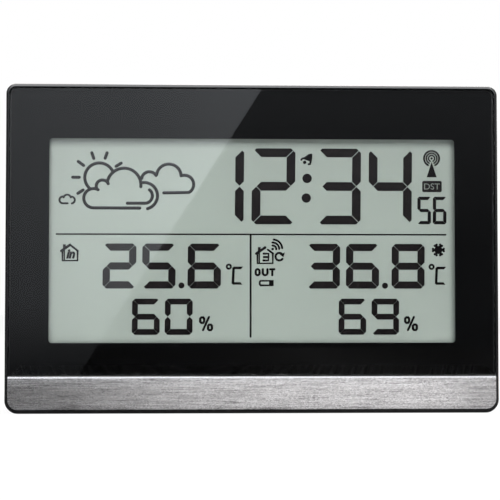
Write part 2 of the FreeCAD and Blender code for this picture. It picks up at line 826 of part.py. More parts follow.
# ---------------------------------------------------------------- Rear cover
def bay_tray():
    """The outer block of the battery bay, before it is hollowed."""
    return block(bay_left - bay_wall, bay_right + bay_wall, bay_inside - bay_floor, rear_inside + 0.5,
                 bay_bottom - bay_wall, bay_top + bay_wall)


def bay_cuts():
    """The bay's hollow, the door's rebate, and the slots for the door's tongues, its latch and the lugs."""
    cuts = [block(bay_left, bay_right, bay_inside, case_depth + 1, bay_bottom, bay_top)]
    cuts.append(slab(door_left - door_gap, door_right + door_gap, door_bottom - door_gap, door_top + door_gap,
                     door_corner_radius, door_corner_radius, door_inside - door_gap, case_depth + 1))
    for side in (-1, 1):
        middle = bay_middle + side * tongue_spacing / 2
        half = tongue_width / 2 + door_gap
        cuts.append(block(middle - half, middle + half, door_inside - tongue_thickness - 3 * door_gap - wall,
                          rear_inside, door_bottom - tongue_reach - wall, bay_bottom + fit_gap))
        cuts.append(block(middle - half, middle + half, rear_inside - fit_gap, case_depth, door_bottom,
                          bay_bottom + fit_gap))
    half = latch_width / 2 + door_gap
    cuts.append(block(bay_middle - half, bay_middle + half, rear_inside - 1, case_depth + 1, door_top,
                      door_top + latch_height + 2 * door_gap))
    for x in cell_columns:
        half = lug_width / 2 + fit_gap
        cuts.append(block(x - lug_offset - half, x - lug_offset + half, cell_depth - fit_gap,
                          cell_depth + contact_thickness + fit_gap, bay_bottom - bay_wall - 1,
                          bay_bottom + fit_gap))
    return cuts


def stand_tray():
    side = tray_half_width + tray_wall
    tray = block(-side, side, tray_floor - tray_wall, rear_inside + 0.5, wall / 2, tray_top + tray_wall)
    ears = [block(tray_half_width if side > 0 else -tray_half_width - ear_block,
                  tray_half_width + ear_block if side > 0 else -tray_half_width,
                  stand_pin_depth - ear_block_half_height, rear_inside + 0.5,
                  stand_hinge_height - ear_block_half_height, stand_hinge_height + ear_block_half_height)
            for side in (-1, 1)]
    return joined([tray] + ears)


def keyhole_cuts():
    through = rear_inside - 1
    slot = slab(-keyhole_slot_radius, keyhole_slot_radius, keyhole_height,
                keyhole_slot_top + keyhole_slot_radius, keyhole_slot_radius, 0, through, case_depth + 1)
    pocket = block(-keyhole_side, keyhole_side, rear_inside - keyhole_pocket_depth, rear_inside,
                   keyhole_height - keyhole_side, keyhole_slot_top + keyhole_side)
    return [round_y(0, keyhole_height, keyhole_radius, through, case_depth + 1), slot, pocket]


def keyhole_box():
    side = keyhole_side + keyhole_pocket_wall
    return block(-side, side, rear_inside - keyhole_pocket_depth - keyhole_pocket_wall, rear_inside + 0.5,
                 keyhole_height - side, keyhole_slot_top + side)


def key_panel_edges():
    side = key_column_pitch / 2 + key_width / 2 + key_panel_border
    up = key_row_pitch * (key_rows - 1) / 2 + key_height / 2 + key_panel_border
    return key_middle - side, key_middle + side, key_middle_height - up, key_middle_height + up


def key_slab(x, z, extra, d0, d1):
    """A key's rounded outline, grown by extra."""
    return slab(x - key_width / 2 - extra, x + key_width / 2 + extra, z - key_height / 2 - extra,
                z + key_height / 2 + extra, key_height / 2 + extra - 0.01, key_height / 2 + extra - 0.01, d0, d1)


def vent_slots():
    slots = []
    for step in range(vent_count):
        x = (step - (vent_count - 1) / 2) * vent_pitch
        radius = vent_width / 2 - 0.01
        slots.append(slab(x - vent_width / 2, x + vent_width / 2, vent_low, vent_high, radius, radius,
                          rear_inside - 1, case_depth + 1))
    return slots


def sound_holes():
    holes = [round_y(key_middle, buzzer_height_above_base, sound_hole_radius, rear_inside - 1, case_depth + 1)]
    for step in range(sound_hole_count):
        angle = 2 * math.pi * step / sound_hole_count
        holes.append(round_y(key_middle + sound_hole_spread * math.cos(angle),
                             buzzer_height_above_base + sound_hole_spread * math.sin(angle),
                             sound_hole_radius, rear_inside - 1, case_depth + 1))
    return holes


def ferrite_clips():
    """Two ribs that rise from the cover's base and grip the ferrite rod just above its middle."""
    clips = []
    for side in (-1, 1):
        x = ferrite_offset + side * (ferrite_length / 2 - clip_inset)
        rib = block(x - clip_thickness / 2, x + clip_thickness / 2, ferrite_depth - ferrite_radius - wall,
                    ferrite_depth + ferrite_radius + wall / 2, wall / 2, ferrite_height + clip_rise)
        clips.append(rib.cut(round_x(ferrite_depth, ferrite_height, ferrite_radius + fit_gap, x - wall, x + wall)))
    return clips


def rear_cover():
    body = cover_slab(0, housing_depth, case_depth)
    body = body.makeFillet(rear_edge_radius, edges_at_depth(body, case_depth))
    inside = cover_slab(wall, housing_depth - 1, rear_inside)
    inside = inside.makeFillet(max(rear_edge_radius - wall, smallest_radius), edges_at_depth(inside, rear_inside))
    shell = body.cut(inside)
    lip = cover_slab(wall + fit_gap, housing_depth - lip_height, housing_depth + lip_height)
    lip = lip.cut(cover_slab(wall + fit_gap + lip_thickness, housing_depth - lip_height - 1,
                             housing_depth + lip_height + 1))
    lip_root = cover_slab(wall / 2, housing_depth, housing_depth + lip_height)
    lip_root = lip_root.cut(cover_slab(wall + fit_gap + lip_thickness, housing_depth - 1,
                                       housing_depth + lip_height + 1))
    x0, x1, z0, z1 = key_panel_edges()
    panel = slab(x0 - wall, x1 + wall, z0 - wall, z1 + wall, key_panel_radius, key_panel_radius, panel_inside,
                 rear_inside + 0.5)
    key_posts = [round_y(x, z, key_post_radius, key_board_back, panel_inside + 0.5) for x, z in key_post_spots]
    tubes = [round_y(x, z, case_tube_radius, housing_depth, rear_inside + 0.5) for x, z in case_screw_spots]
    ring = round_y(key_middle, buzzer_height_above_base, buzzer_radius + fit_gap + buzzer_ring,
                   rear_inside - buzzer_ring_height, rear_inside + 0.5)
    body = joined([shell, lip_root, lip, bay_tray(), stand_tray(), keyhole_box(), panel, ring] + key_posts + tubes
                  + ferrite_clips())
    cuts = bay_cuts() + keyhole_cuts() + vent_slots() + sound_holes()
    cuts.append(block(-tray_half_width, tray_half_width, tray_floor, case_depth + 1, -1, tray_top))
    cuts.append(round_x(stand_pin_depth, stand_hinge_height, stand_pin_radius,
                        -tray_half_width - ear_block + fit_gap, tray_half_width + ear_block - fit_gap))
    cuts.append(slab(x0, x1, z0, z1, key_panel_radius, key_panel_radius, panel_floor, case_depth + 1))
    cuts += [key_slab(x, z, key_gap, panel_inside - 1, panel_floor + 1) for x, z in key_spots]
    cuts += [round_y(x, z, small_screw_radius - pilot_shrink, key_board_back - 1, key_board_back + wall * 2)
             for x, z in key_post_spots]
    cuts.append(round_y(key_middle, buzzer_height_above_base, buzzer_radius + fit_gap,
                        rear_inside - buzzer_thickness - 1, rear_inside))
    for x, z in case_screw_spots:
        cuts.append(round_y(x, z, case_screw_radius + screw_clearance, housing_depth - 1, case_depth + 1))
        cuts.append(round_y(x, z, case_head_radius + case_head_radius / 8, housing_depth + case_head_depth,
                            case_depth + 1))
    half = snooze_width / 2 + key_gap
    cuts.append(upright_column(-half, half, snooze_depth - key_gap, snooze_depth + snooze_length + key_gap,
                               snooze_corner_radius + key_gap, cover_top_inside - 1, cover_top + 1))
    return without(body, cuts)


def case_screws():
    screws = []
    seat = housing_depth + case_head_depth
    for x, z in case_screw_spots:
        head = round_y(x, z, case_head_radius, seat, seat + case_head_height)
        head = head.makeFillet(case_head_height / 3, edges_at_depth(head, seat + case_head_height))
        shank = round_y(x, z, case_screw_radius - pilot_shrink, seat - case_screw_length, seat)
        screws.append(head.fuse(shank).cut(driver_cross(x, z, case_head_radius, seat + case_head_height)))
    return Part.makeCompound([screw.removeSplitter() for screw in screws])


# ---------------------------------------------------------------- Keys, their board and the snooze bar
def key_board():
    board = block(key_board_left, key_board_right, key_board_front, key_board_back, key_board_low, key_board_high)
    return without(board, [round_y(x, z, small_screw_radius + screw_clearance, key_board_front - 1,
                                   key_board_back + 1) for x, z in key_post_spots])


def key_board_screws():
    """Four screws from the board's front into the cover's posts."""
    screws = []
    for x, z in key_post_spots:
        head = round_y(x, z, small_head_radius, key_board_front - small_head_height, key_board_front)
        head = head.makeFillet(small_head_height / 3, edges_at_depth(head, key_board_front - small_head_height))
        shank = round_y(x, z, small_screw_radius - pilot_shrink, key_board_front, key_board_back + wall * 2)
        screws.append(head.fuse(shank).removeSplitter())
    return Part.makeCompound(screws)


def key_switches():
    """Six switch bodies on the key board, each open at the back for its plunger."""
    half = switch_size / 2
    seat = plunger_seat + key_travel + fit_gap
    bodies = []
    for x, z in key_spots:
        body = block(x - half, x + half, key_board_back, switch_top, z - half, z + half)
        bodies.append(body.cut(round_y(x, z, plunger_radius + plunger_clearance, switch_top - seat,
                                       switch_top + 1)))
    return Part.makeCompound(bodies)


def rear_key(x, z):
    cap = key_slab(x, z, 0, key_flange_back - fit_gap, panel_floor + key_rise)
    cap = cap.makeFillet(key_edge_radius, edges_at_depth(cap, panel_floor + key_rise))
    flange = key_slab(x, z, key_flange, key_flange_front, key_flange_back)
    stem = round_y(x, z, key_stem_radius, key_stem_front, key_flange_front + fit_gap)
    return joined([flange, cap, stem])


def key_plunger(x, z):
    return round_y(x, z, plunger_radius, switch_top - plunger_seat, key_stem_front)


def snooze_bar():
    half = snooze_width / 2
    back = snooze_depth + snooze_length
    cap = upright_column(-half, half, snooze_depth, back, snooze_corner_radius, snooze_flange_top - fit_gap,
                         snooze_top)
    cap = cap.makeFillet(snooze_edge_radius, edges_at_height(cap, snooze_top))
    flange = block(-half - snooze_flange, half + snooze_flange, snooze_depth - snooze_flange,
                   back + snooze_flange, snooze_flange_low, snooze_flange_top)
    stem = round_z(0, snooze_switch_depth, snooze_stem_radius, snooze_stem_low, snooze_flange_low + fit_gap)
    return joined([flange, cap, stem])


def snooze_plunger():
    return round_z(0, snooze_switch_depth, plunger_radius, snooze_switch_top - plunger_seat, snooze_stem_low)


def pin_header():
    """The pin row that joins the key board to the main board."""
    z = key_board_high - header_drop
    half = header_pitch * header_pins / 2
    low, high = z - header_body / 2, z + header_body / 2
    blocks = [block(key_middle - half, key_middle + half, board_back, board_back + header_body, low, high),
              block(key_middle - half, key_middle + half, key_board_front - header_body, key_board_front, low, high)]
    pins = []
    for step in range(header_pins):
        x = key_middle + (step - (header_pins - 1) / 2) * header_pitch
        pins.append(block(x - header_pin_half, x + header_pin_half, board_back, key_board_front,
                          z - header_pin_half, z + header_pin_half))
    return joined(blocks + pins)


# ---------------------------------------------------------------- Buzzer and clock aerial
def buzzer():
    can = round_y(key_middle, buzzer_height_above_base, buzzer_radius, rear_inside - buzzer_thickness, rear_inside)
    return can.makeFillet(0.4, edges_at_depth(can, rear_inside - buzzer_thickness))


def ferrite_rod():
    half = ferrite_length / 2
    return round_x(ferrite_depth, ferrite_height, ferrite_radius, ferrite_offset - half, ferrite_offset + half)


def antenna_coil():
    """The winding on the ferrite rod, as one wound body."""
    half = coil_length / 2
    winding = round_x(ferrite_depth, ferrite_height, ferrite_radius + coil_thickness, ferrite_offset - half,
                      ferrite_offset + half)
    return winding.cut(round_x(ferrite_depth, ferrite_height, ferrite_radius, ferrite_offset - half - 1,
                               ferrite_offset + half + 1))


# ---------------------------------------------------------------- Battery bay
def battery(column, nub_end, flat_end):
    """An AA cell from its positive nub to its flat negative end, along Z."""
    up = 1 if nub_end > flat_end else -1
    x = cell_columns[column]
    low, high = sorted((flat_end, nub_end - up * cell_nub_height))
    can = round_z(x, cell_depth, cell_diameter / 2, low, high)
    can = can.makeFillet(cell_edge, edges_at_height(can, low) + edges_at_height(can, high))
    low, high = sorted((nub_end, nub_end - up * (cell_nub_height + cell_edge)))
    return can.fuse(round_z(x, cell_depth, cell_nub_radius, low, high)).removeSplitter()


def contact_plate(x, z, up):
    """A sheet-metal contact against an end wall of the bay; up is 1 at the bottom wall and -1 at the top."""
    half = contact_size / 2
    low, high = sorted((z, z + up * contact_thickness))
    return block(x - half, x + half, cell_depth - half, cell_depth + half, low, high)


def contact_spring(x, z, up):
    start = spot(x, cell_depth, z + up * (contact_thickness + spring_wire_radius))
    return coil_spring(start, spring_radius, spring_wire_radius, spring_height - 2 * spring_wire_radius,
                       spring_turns, FreeCAD.Vector(0, 0, up))


def solder_lug(x):
    """The tab that leads a contact out through the bay's bottom wall."""
    return block(x - lug_offset - lug_width / 2, x - lug_offset + lug_width / 2, cell_depth,
                 cell_depth + contact_thickness, bay_bottom - bay_wall - lead_standoff,
                 bay_bottom + contact_thickness)


def contact_button(x, z, up):
    low, high = sorted((z + up * contact_thickness, z + up * (contact_thickness + contact_bump)))
    return round_z(x, cell_depth, cell_nub_radius, low, high)


def contact_negative():
    x = cell_columns[0]
    return Part.makeCompound([contact_plate(x, bay_bottom, 1).fuse(solder_lug(x)).removeSplitter(),
                              contact_spring(x, bay_bottom, 1)])


def contact_positive():
    x = cell_columns[1]
    return joined([contact_plate(x, bay_bottom, 1), contact_button(x, bay_bottom, 1), solder_lug(x)])


def contact_bridge():
    """The plate at the top that joins the two cells: a button for one, a spring for the other."""
    left, right = cell_columns
    half = contact_size / 2
    plate = block(left - half, right + half, cell_depth - half, cell_depth + half, bay_top - contact_thickness,
                  bay_top)
    return Part.makeCompound([joined([plate, contact_button(left, bay_top, -1)]), contact_spring(right, bay_top, -1)])


def battery_door():
    """The door: a plate with two tongues that hook under the cover below it, and a U-shaped latch above."""
    plate = slab(door_left, door_right, door_bottom, door_top, door_corner_radius, door_corner_radius, door_inside,
                 case_depth)
    plate = plate.makeFillet(door_edge_radius, edges_at_depth(plate, case_depth))
    pieces = [plate]
    tongue_back = rear_inside - fit_gap
    for side in (-1, 1):
        middle = bay_middle + side * tongue_spacing / 2
        half = tongue_width / 2
        pieces.append(block(middle - half, middle + half, tongue_back - tongue_thickness, tongue_back,
                            door_bottom - tongue_reach, bay_bottom - fit_gap))
        pieces.append(block(middle - half, middle + half, tongue_back - tongue_thickness, door_inside + 0.1,
                            door_bottom + door_ledge / 4, bay_bottom - fit_gap))
    half = latch_width / 2
    inner = bay_top + bay_wall + door_gap
    outer = door_top + latch_height
    deep = door_inside - latch_depth
    pieces.append(block(bay_middle - half, bay_middle + half, door_inside, case_depth - door_edge_radius,
                        door_top - fit_gap, inner + latch_plate))
    pieces.append(block(bay_middle - half, bay_middle + half, deep, door_inside + fit_gap, inner,
                        inner + latch_plate))
    pieces.append(block(bay_middle - half, bay_middle + half, deep, deep + latch_plate, inner, outer))
    pieces.append(block(bay_middle - half, bay_middle + half, deep, case_depth, outer - latch_plate, outer))
    door = joined(pieces)
    ridges = []
    for step in range(grip_ridges):
        z = door_top - grip_drop - step * grip_pitch
        ridges.append(round_x(case_depth, z, grip_ridge_radius, bay_middle - half, bay_middle + half))
    return without(door, ridges)


# ---------------------------------------------------------------- Stand
def stand():
    """The fold-out leg: a cored plate on a barrel, with a heel that stops it when it is open."""
    half = stand_width / 2
    leg = slab(-half, half, stand_foot_gap, stand_hinge_height, 0, stand_corner_radius, stand_front, stand_back)
    foot_edges = [e for e in edges_at_depth(leg, stand_back) if e.BoundBox.ZMax < stand_foot_gap + 1e-3]
    leg = leg.makeFillet(stand_foot_radius, foot_edges)
    barrel = round_x(stand_pin_depth, stand_hinge_height, stand_thickness / 2, -half, half)
    reach = stand_thickness / 2
    stop = reach + stand_gap - heel_stop_gap
    turn = math.radians(stand_open_angle)
    top = heel_height
    profile = [(0, 0), (-stop * math.cos(turn), stop * math.sin(turn)),
               ((top * math.sin(turn) - stop) / math.cos(turn), top), (reach, top), (reach, 0)]
    points = [spot(-heel_width / 2, stand_pin_depth + d, stand_hinge_height + z) for d, z in profile]
    heel = Part.Face(Part.makePolygon(points + [points[0]])).extrude(FreeCAD.Vector(heel_width, 0, 0))
    body = joined([leg, barrel, heel])
    low = stand_foot_gap + stand_notch_depth + 2 * stand_pocket_border
    high = stand_hinge_height - reach - stand_pocket_border
    cuts = []
    bay = (stand_width - 2 * stand_pocket_border - 2 * stand_rib) / 3
    for step in range(3):
        x = -half + stand_pocket_border + step * (bay + stand_rib)
        cuts.append(slab(x, x + bay, low, high, 1, 1, stand_front - 1, stand_front + stand_pocket_depth))
    cuts.append(round_y(0, stand_foot_gap + stand_notch_depth - stand_notch_radius, stand_notch_radius,
                        stand_front - 1, stand_back + 1))
    cuts.append(round_x(stand_pin_depth, stand_hinge_height, stand_pin_radius + stand_pin_clearance,
                        -half - 1, half + 1))
    return without(body, cuts)


def stand_pin():
    end = tray_half_width + ear_block - 2 * fit_gap
    return round_x(stand_pin_depth, stand_hinge_height, stand_pin_radius, -end, end)


# ---------------------------------------------------------------- Leads
def battery_lead(column):
    """A lead from a contact's lug, under the bay and up to the main board."""
    x = cell_columns[column] - lug_offset
    low = bay_bottom - bay_wall - lead_standoff
    drop = 3 * lead_radius * column
    depth = cell_depth - lead_radius
    pad_x = board_right_edge - pad_inset
    pad_z = glass_bottom + pad_rise + pad_pitch * (1 - column)
    points = [spot(x, depth, low + 2 * lead_radius), spot(x - 2 * lead_standoff, depth, low - drop),
              spot(bay_left, depth - 2 * lead_radius, low - drop),
              spot(bay_left - bay_wall - lead_standoff, depth - 3 * lead_radius, low + lead_standoff - drop),
              spot(pad_x, board_back + lead_rise, pad_z), spot(pad_x, board_back, pad_z)]
    return wire_lead(points, lead_radius)


# ---------------------------------------------------------------- Everything, by node name
def all_parts():
    cell_low = bay_bottom + contact_thickness
    cell_high = bay_top - contact_thickness
    parts = {
        "front_lens": front_lens(),
        "lens_mask": lens_mask(),
        "lens_tape": lens_tape(),
        "trim_strip": trim_strip(),
        "trim_tape": trim_tape(),
        "front_housing": front_housing(),
        "lcd_gasket": lcd_gasket(),
        "lcd_front_polarizer": lcd_front_polarizer(),
        "lcd_front_glass": lcd_front_glass(),
        "lcd_rear_glass": lcd_rear_glass(),
        "lcd_rear_polarizer": lcd_rear_polarizer(),
        "light_guide": light_guide(),
        "backlight_leds": backlight_leds(),
        "lcd_holder": lcd_holder(),
        "zebra_strips": zebra_strips(),
        "main_board": main_board(),
        "board_screws": board_screws(),
        "processor": processor(),
        "board_components": board_components(),
        "radio_module": radio_module(),
        "radio_antenna": radio_antenna(),
        "humidity_sensor": humidity_sensor(),
        "snooze_switch": snooze_switch(),
        "rear_cover": rear_cover(),
        "case_screws": case_screws(),
        "key_board": key_board(),
        "key_board_screws": key_board_screws(),
        "key_switches": key_switches(),
        "pin_header": pin_header(),
        "buzzer": buzzer(),
        "ferrite_rod": ferrite_rod(),
        "antenna_coil": antenna_coil(),
        "battery_left": battery(0, cell_high - contact_bump, cell_high - contact_bump - cell_length),
        "battery_right": battery(1, cell_low + contact_bump, cell_low + contact_bump + cell_length),
        "contact_negative": contact_negative(),
        "contact_positive": contact_positive(),
        "contact_bridge": contact_bridge(),
        "battery_door": battery_door(),
        "stand": stand(),
        "stand_pin": stand_pin(),
        "snooze_bar": snooze_bar(),
        "snooze_plunger": snooze_plunger(),
        "negative_lead": battery_lead(0),
        "positive_lead": battery_lead(1),
    }
    for name, (x, z) in zip(key_names, key_spots):
        parts[name] = rear_key(x, z)
        parts[name + "_plunger"] = key_plunger(x, z)
    return parts


os.makedirs("parts", exist_ok=True)
for node, shape in all_parts().items():
    shape.exportStep(os.path.join("parts", node + ".step"))
    print(f"{node:24} solids {len(shape.Solids)}  volume {shape.Volume:9.1f}  valid {shape.isValid()}")
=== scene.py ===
import json
import math

import bpy
from mathutils import Matrix, Vector


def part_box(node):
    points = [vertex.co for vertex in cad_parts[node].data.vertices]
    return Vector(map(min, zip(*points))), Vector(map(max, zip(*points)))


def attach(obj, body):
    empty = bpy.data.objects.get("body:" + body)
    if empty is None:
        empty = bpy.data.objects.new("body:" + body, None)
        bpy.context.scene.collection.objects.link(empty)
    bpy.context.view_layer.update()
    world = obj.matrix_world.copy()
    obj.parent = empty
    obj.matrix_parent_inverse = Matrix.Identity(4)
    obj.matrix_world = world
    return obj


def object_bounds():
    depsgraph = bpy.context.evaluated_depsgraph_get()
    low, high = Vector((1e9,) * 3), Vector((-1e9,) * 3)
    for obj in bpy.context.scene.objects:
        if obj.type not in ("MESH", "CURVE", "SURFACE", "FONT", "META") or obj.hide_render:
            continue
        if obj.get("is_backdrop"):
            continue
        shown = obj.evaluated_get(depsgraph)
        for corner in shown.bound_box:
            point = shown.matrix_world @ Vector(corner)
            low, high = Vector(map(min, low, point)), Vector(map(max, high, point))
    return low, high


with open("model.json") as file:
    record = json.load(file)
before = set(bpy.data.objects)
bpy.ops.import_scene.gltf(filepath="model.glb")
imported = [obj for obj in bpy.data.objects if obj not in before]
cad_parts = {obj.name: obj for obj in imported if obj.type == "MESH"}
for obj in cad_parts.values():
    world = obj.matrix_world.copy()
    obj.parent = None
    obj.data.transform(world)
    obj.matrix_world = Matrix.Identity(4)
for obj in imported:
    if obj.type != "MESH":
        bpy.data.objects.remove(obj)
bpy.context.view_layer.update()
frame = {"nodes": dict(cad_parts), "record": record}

# The looks of the weather station: a finish for every part, the figures and signs of the display, the words beside
# the rear keys, a white table, the studio's lamps and cards, and the camera. The display is laid out in millimetres
# on the case's front: x from the middle to the right, z up from the base.

parts = frame["nodes"]

MM = 0.001
QUARTER = math.pi / 2
WHITE = (1, 1, 1, 1)
film_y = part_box("lcd_front_polarizer")[0].y
ink_depth = 0.05 * MM                       # the drawn ink is this thick
ink_back = film_y - 0.03 * MM               # and stands this far in front of the display's film
ink_front = ink_back - ink_depth
ink_middle = (ink_front + ink_back) / 2
core_step = 0.02 * MM                       # the figures' cores stand this far in front of their edges
hair = 0.000001                             # points nearer to a cut than this lie on it


# ---------------------------------------------------------------- Finishes
def finish(name):
    """A new finish: the material and its main shader."""
    coat = bpy.data.materials.new(name)
    coat.use_nodes = True
    return coat, coat.node_tree.nodes["Principled BSDF"]


def node(coat, kind, **settings):
    """A shader node with its sockets and settings filled in."""
    made = coat.node_tree.nodes.new(kind)
    for key, value in settings.items():
        if key in made.inputs:
            made.inputs[key].default_value = value
        else:
            setattr(made, key, value)
    return made


def join_up(coat, start, end):
    coat.node_tree.links.new(start, end)


def grain_of(coat, size, detail=2.0, stretch=(1, 1, 1), roughness=0.5):
    """Noise on the part itself; size is its grain in millimetres."""
    place = node(coat, "ShaderNodeTexCoord")
    spread = node(coat, "ShaderNodeMapping", Scale=stretch)
    speck = node(coat, "ShaderNodeTexNoise", Scale=1 / (size * MM), Detail=detail, Roughness=roughness)
    join_up(coat, place.outputs["Object"], spread.inputs["Vector"])
    join_up(coat, spread.outputs["Vector"], speck.inputs["Vector"])
    return speck.outputs["Fac"]


def between(coat, source, low, high, start=0.0, end=1.0):
    """The source's values from start to end, spread from low to high."""
    reach = node(coat, "ShaderNodeMapRange")
    for socket, value in (("From Min", start), ("From Max", end), ("To Min", low), ("To Max", high)):
        reach.inputs[socket].default_value = value
    join_up(coat, source, reach.inputs["Value"])
    return reach.outputs["Result"]


def along(coat, axis):
    """Where a point lies on one axis of the part, in metres."""
    place = node(coat, "ShaderNodeTexCoord")
    split = node(coat, "ShaderNodeSeparateXYZ")
    join_up(coat, place.outputs["Object"], split.inputs["Vector"])
    return split.outputs[axis]


def stepped(coat, source, stops):
    """A smooth run of values over the source: pairs of source value in millimetres and strength."""
    low, high = stops[0][0] * MM, stops[-1][0] * MM
    top = max(value for _, value in stops)
    ramp = node(coat, "ShaderNodeValToRGB")
    points = ramp.color_ramp.elements
    while len(points) < len(stops):
        points.new(0.5)
    for point, (place, value) in zip(points, stops):
        point.position = (place * MM - low) / (high - low)
        point.color = (value / top, value / top, value / top, 1)
    join_up(coat, between(coat, source, 0.0, 1.0, low, high), ramp.inputs["Fac"])
    scale = node(coat, "ShaderNodeMath", operation="MULTIPLY")
    scale.inputs[1].default_value = top
    join_up(coat, ramp.outputs["Color"], scale.inputs[0])
    return scale.outputs["Value"]


def worked_out(coat, operation, first, second):
    """Two values put together, such as added or multiplied."""
    both = node(coat, "ShaderNodeMath", operation=operation)
    join_up(coat, first, both.inputs[0])
    join_up(coat, second, both.inputs[1])
    return both.outputs["Value"]


def toned(coat, strength):
    """A colour times a strength: its colour socket, which is still to be filled, and the result."""
    tone = node(coat, "ShaderNodeMix", data_type="RGBA", blend_type="MULTIPLY")
    tone.inputs["Factor"].default_value = 1.0
    join_up(coat, strength, tone.inputs[7])
    return tone.inputs[6], tone.outputs[2]


def shaded(coat, colour, source, amount):
    """The colour made a little lighter and darker by the source."""
    plain, result = toned(coat, between(coat, source, 1 - amount, 1 + amount))
    plain.default_value = colour
    return result


def surface_of(coat, shader):
    """Makes a shader the coat's surface."""
    join_up(coat, shader, coat.node_tree.nodes["Material Output"].inputs["Surface"])


def raised(coat, skin, source, strength, height):
    """Lets the source stand out of the surface by some millimetres."""
    bump = node(coat, "ShaderNodeBump", Strength=strength, Distance=height * MM)
    join_up(coat, source, bump.inputs["Height"])
    join_up(coat, bump.outputs["Normal"], skin.inputs["Normal"])


def seen(level):
    """The light value of a colour level between 0 and 255."""
    part = level / 255
    return part / 12.92 if part <= 0.04045 else ((part + 0.055) / 1.055) ** 2.4


def tint(red, green, blue):
    return seen(red), seen(green), seen(blue), 1.0


def solid(name, colour, roughness, metallic=0.0, uneven=0.06, grain=0.0, grain_size=0.35, shine=0.5):
    """A moulded, plated or painted finish: uneven by a few hundredths, with a moulded grain where it has one."""
    coat, skin = finish(name)
    skin.inputs["Metallic"].default_value = metallic
    skin.inputs["Specular IOR Level"].default_value = shine
    cloud = grain_of(coat, 9.0, 3.0)
    join_up(coat, shaded(coat, colour, cloud, uneven), skin.inputs["Base Color"])
    spread = min(0.04, roughness / 2)
    rub = between(coat, cloud, roughness - spread, min(roughness + spread, 1.0))
    join_up(coat, rub, skin.inputs["Roughness"])
    if grain:
        raised(coat, skin, grain_of(coat, grain_size), grain, 0.04)
    return coat


def case_plastic(name):
    """Black plastic: polished on the rim round the lens, and spark-grained on the walls and the back."""
    coat, skin = finish(name)
    cloud = grain_of(coat, 9.0, 3.0)
    join_up(coat, shaded(coat, tint(21, 21, 22), cloud, 0.08), skin.inputs["Base Color"])
    polished_to, grained_from = -13.3 * MM, -12.6 * MM
    depth = between(coat, along(coat, "Y"), 0.0, 1.0, polished_to, grained_from)
    join_up(coat, between(coat, depth, 0.14, 0.42), skin.inputs["Roughness"])
    sparks = grain_of(coat, 0.45, 3.0)
    raised(coat, skin, worked_out(coat, "MULTIPLY", sparks, depth), 0.45, 0.05)
    return coat


def brushed_aluminium(name, colour, dark, light, blur, grit_share, relief):
    """Aluminium brushed from side to side: long fine scratches in its tone, its gloss and its surface."""
    coat, skin = finish(name)
    skin.inputs["Metallic"].default_value = 1.0
    scratches = grain_of(coat, 1.0, 5.0, (0.09, 0.4, 7.5), 0.75)
    grit = grain_of(coat, 0.25, 3.0, (0.6, 1, 1.2), 0.85)
    drawn = between(coat, scratches, dark, light, 0.3, 0.7)
    specks = between(coat, grit, -grit_share, grit_share, 0.3, 0.7)
    plain, result = toned(coat, worked_out(coat, "ADD", drawn, specks))
    plain.default_value = colour
    join_up(coat, result, skin.inputs["Base Color"])
    join_up(coat, between(coat, scratches, blur - 0.05, blur + 0.07, 0.3, 0.7), skin.inputs["Roughness"])
    raised(coat, skin, scratches, relief, 0.02)
    return coat


def clear_acrylic(name, colour, refraction):
    """Clear acrylic: what its face doesn't mirror goes straight through it."""
    coat, skin = finish(name)
    coat.node_tree.nodes.remove(skin)
    through = node(coat, "ShaderNodeBsdfTransparent", Color=colour)
    mirror = node(coat, "ShaderNodeBsdfGlossy", Color=WHITE)
    join_up(coat, between(coat, grain_of(coat, 30.0), 0.0, 0.01), mirror.inputs["Roughness"])
    share = node(coat, "ShaderNodeFresnel", IOR=refraction)
    mixed = node(coat, "ShaderNodeMixShader")
    join_up(coat, share.outputs["Fac"], mixed.inputs["Fac"])
    join_up(coat, through.outputs["BSDF"], mixed.inputs[1])
    join_up(coat, mirror.outputs["BSDF"], mixed.inputs[2])
    surface_of(coat, mixed.outputs["Shader"])
    return coat


def taped_back(name):
    """The lens's back, wet against its print: it mirrors nothing."""
    coat, skin = finish(name)
    coat.node_tree.nodes.remove(skin)
    through = node(coat, "ShaderNodeBsdfTransparent")
    join_up(coat, between(coat, grain_of(coat, 50.0), 0.995, 1.0), through.inputs["Color"])
    surface_of(coat, through.outputs["BSDF"])
    return coat


def cell_sleeve(name, nub_end):
    """A cell's printed sleeve: dark, with a copper-coloured band at its nub end; nub_end is 1 for up, -1 for down."""
    coat, skin = finish(name)
    skin.inputs["Metallic"].default_value = 0.7
    skin.inputs["Roughness"].default_value = 0.3
    low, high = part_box("battery_left" if nub_end > 0 else "battery_right")
    band, blur = 14 * MM, nub_end * 0.1 * MM
    edge = high.z - band if nub_end > 0 else low.z + band
    step = between(coat, along(coat, "Z"), 0.0, 1.0, edge - blur, edge + blur)
    bands = node(coat, "ShaderNodeMix", data_type="RGBA")
    bands.inputs[6].default_value = tint(52, 56, 62)
    bands.inputs[7].default_value = tint(196, 132, 78)
    join_up(coat, step, bands.inputs["Factor"])
    printed, worn = toned(coat, between(coat, grain_of(coat, 4.0, 3.0), 0.92, 1.08))
    join_up(coat, bands.outputs[2], printed)
    join_up(coat, worn, skin.inputs["Base Color"])
    return coat


